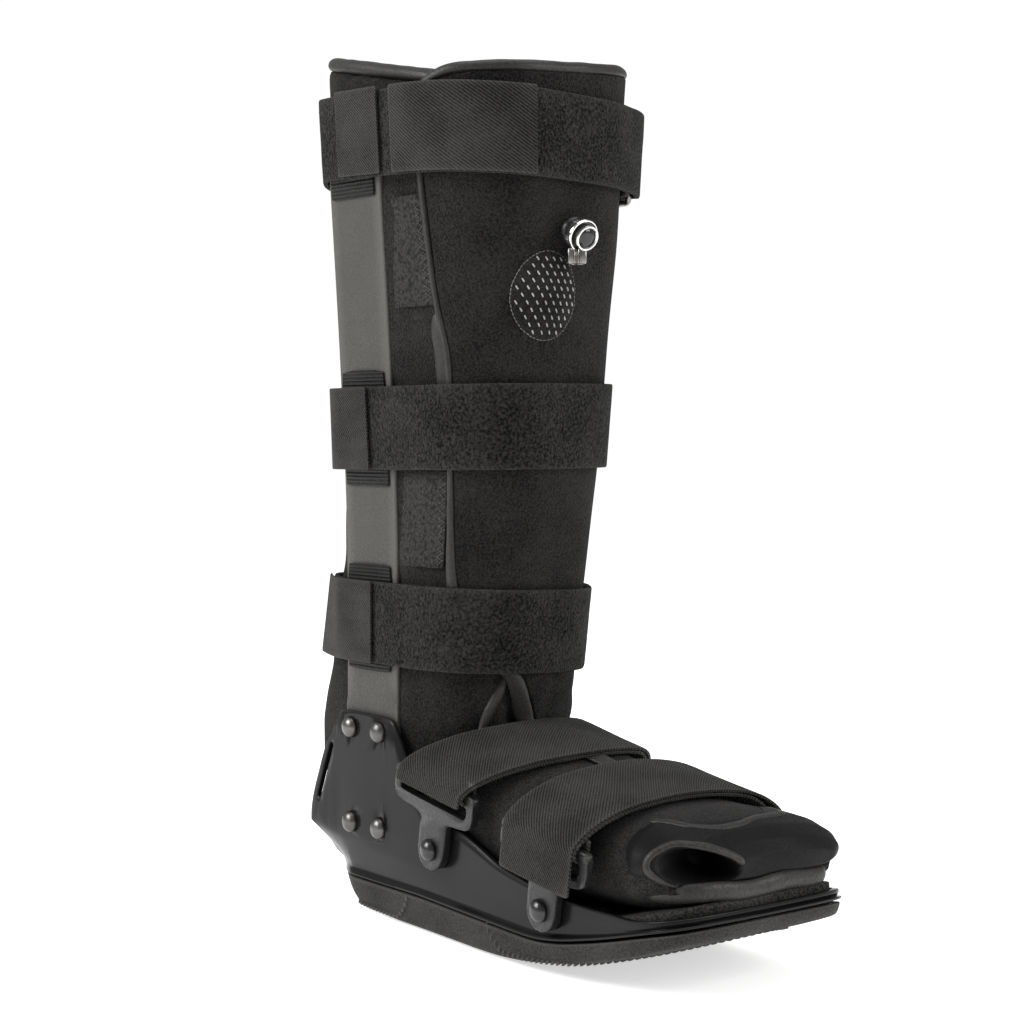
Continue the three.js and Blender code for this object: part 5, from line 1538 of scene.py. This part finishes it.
        finished(eyelets, EYELET_THREAD)
        edge = [on_flap(0.99, 2 * math.pi * i / 120, 0.5) for i in range(121)]
        cord = repeated("pump_edge_stitches", Repeat.STITCH, EDGE_THREAD, [edge], (2.2, 0.6, 0.6), pitch=2.0)
        finished(cord, EDGE_THREAD)


@dataclass
class Studio:
    """Camera at the photograph's viewpoint, soft lights and a pale floor."""

    azimuth: float = 51.0
    drop: float = 82 / 2100  # tangent of the camera's tilt below level
    place: tuple[float, float, float] = (0.8575, -0.6652, 0.249)
    focal: float = 2100.0  # pixels over a picture 1024 wide
    fill: float = 0.5  # the white room's brightness as the boot sees it
    floor_glow: float = 0.56  # keeps the far floor as white as the room
    floor_reach: float = 6.0
    # Name, place, side in metres and power in watts of each softbox
    lamps: tuple[tuple[str, tuple[float, float, float], float, float], ...] = (
        ("key_softbox", (-0.6, -1.4, 1.1), 0.9, 34),
        ("front_softbox", (1.6, 0.7, 0.9), 0.9, 18),
        ("overhead_softbox", (0.1, 0.1, 1.9), 1.3, 16),
    )
    aim: tuple[float, float, float] = (0.03, 0.0, 0.2)

    def build(self) -> None:
        """Makes the camera, the lights, the world and the floor."""
        scene = bpy.context.scene
        turn, tilt = math.radians(self.azimuth), math.atan(self.drop)
        back = Vector((math.sin(turn) * math.cos(tilt), -math.cos(turn) * math.cos(tilt), math.sin(tilt)))
        lens = bpy.data.cameras.new("camera")
        lens.sensor_width = 36
        lens.lens = 36 * self.focal / 1024
        camera = bpy.data.objects.new("camera", lens)
        scene.collection.objects.link(camera)
        camera.location = self.place
        camera.rotation_euler = (-back).to_track_quat("-Z", "Y").to_euler()
        scene.camera = camera
        for name, place, size, power in self.lamps:
            lamp = bpy.data.lights.new(name, "AREA")
            lamp.energy, lamp.size = power, size
            light = bpy.data.objects.new(name, lamp)
            light.location = place
            towards = Vector(self.aim) - Vector(place)
            light.rotation_euler = towards.to_track_quat("-Z", "Y").to_euler()
            scene.collection.objects.link(light)
        world = bpy.data.worlds.new("white_studio")
        world.use_nodes = True
        sky = world.node_tree
        seen = add_node(sky, "ShaderNodeLightPath").outputs["Is Camera Ray"]
        glow = add_node(sky, "ShaderNodeMapRange", {"Value": seen, "To Min": self.fill, "To Max": 1.02})
        sky.nodes["Background"].inputs["Color"].default_value = (1, 1, 1, 1)
        sky.links.new(glow.outputs["Result"], sky.nodes["Background"].inputs["Strength"])
        scene.world = world
        scene.view_settings.view_transform = "Standard"
        mesh = bpy.data.meshes.new("floor")
        corners = ((-1, -1), (1, -1), (1, 1), (-1, 1))
        mesh.from_pydata(
            [(x * self.floor_reach, y * self.floor_reach, 0) for x, y in corners], [], [(0, 1, 2, 3)]
        )
        mesh.uv_layers.new(name="laid")
        floor = as_object("studio_floor", mesh)
        paper = FLOOR_PAPER.material()
        shader = paper.node_tree.nodes["Principled BSDF"]
        shader.inputs["Emission Color"].default_value = (1, 1, 1, 1)
        shader.inputs["Emission Strength"].default_value = self.floor_glow
        floor.data.materials.append(paper)
        floor.location.z = -0.0002
        floor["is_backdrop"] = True


def main() -> None:
    """Builds the boot in order."""
    frame_low, frame_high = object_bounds()
    Studio().build()
    Sole().build()
    _, flap = Liner().build()
    Uprights().build()
    FootStraps().build()
    LegStraps().build()
    pump = PumpAndValve()
    pump.valve()
    pump.pump(flap)
    bpy.context.view_layer.update()
    low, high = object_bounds()
    corners = (tuple(round(c, 4) for c in v) for v in (frame_low, frame_high, low, high))
    LOG.info("frame %s to %s, visual %s to %s", *corners)


if __name__ == "__main__":
    logging.basicConfig(level=logging.INFO, format="%(message)s")
    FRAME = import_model()
    main()
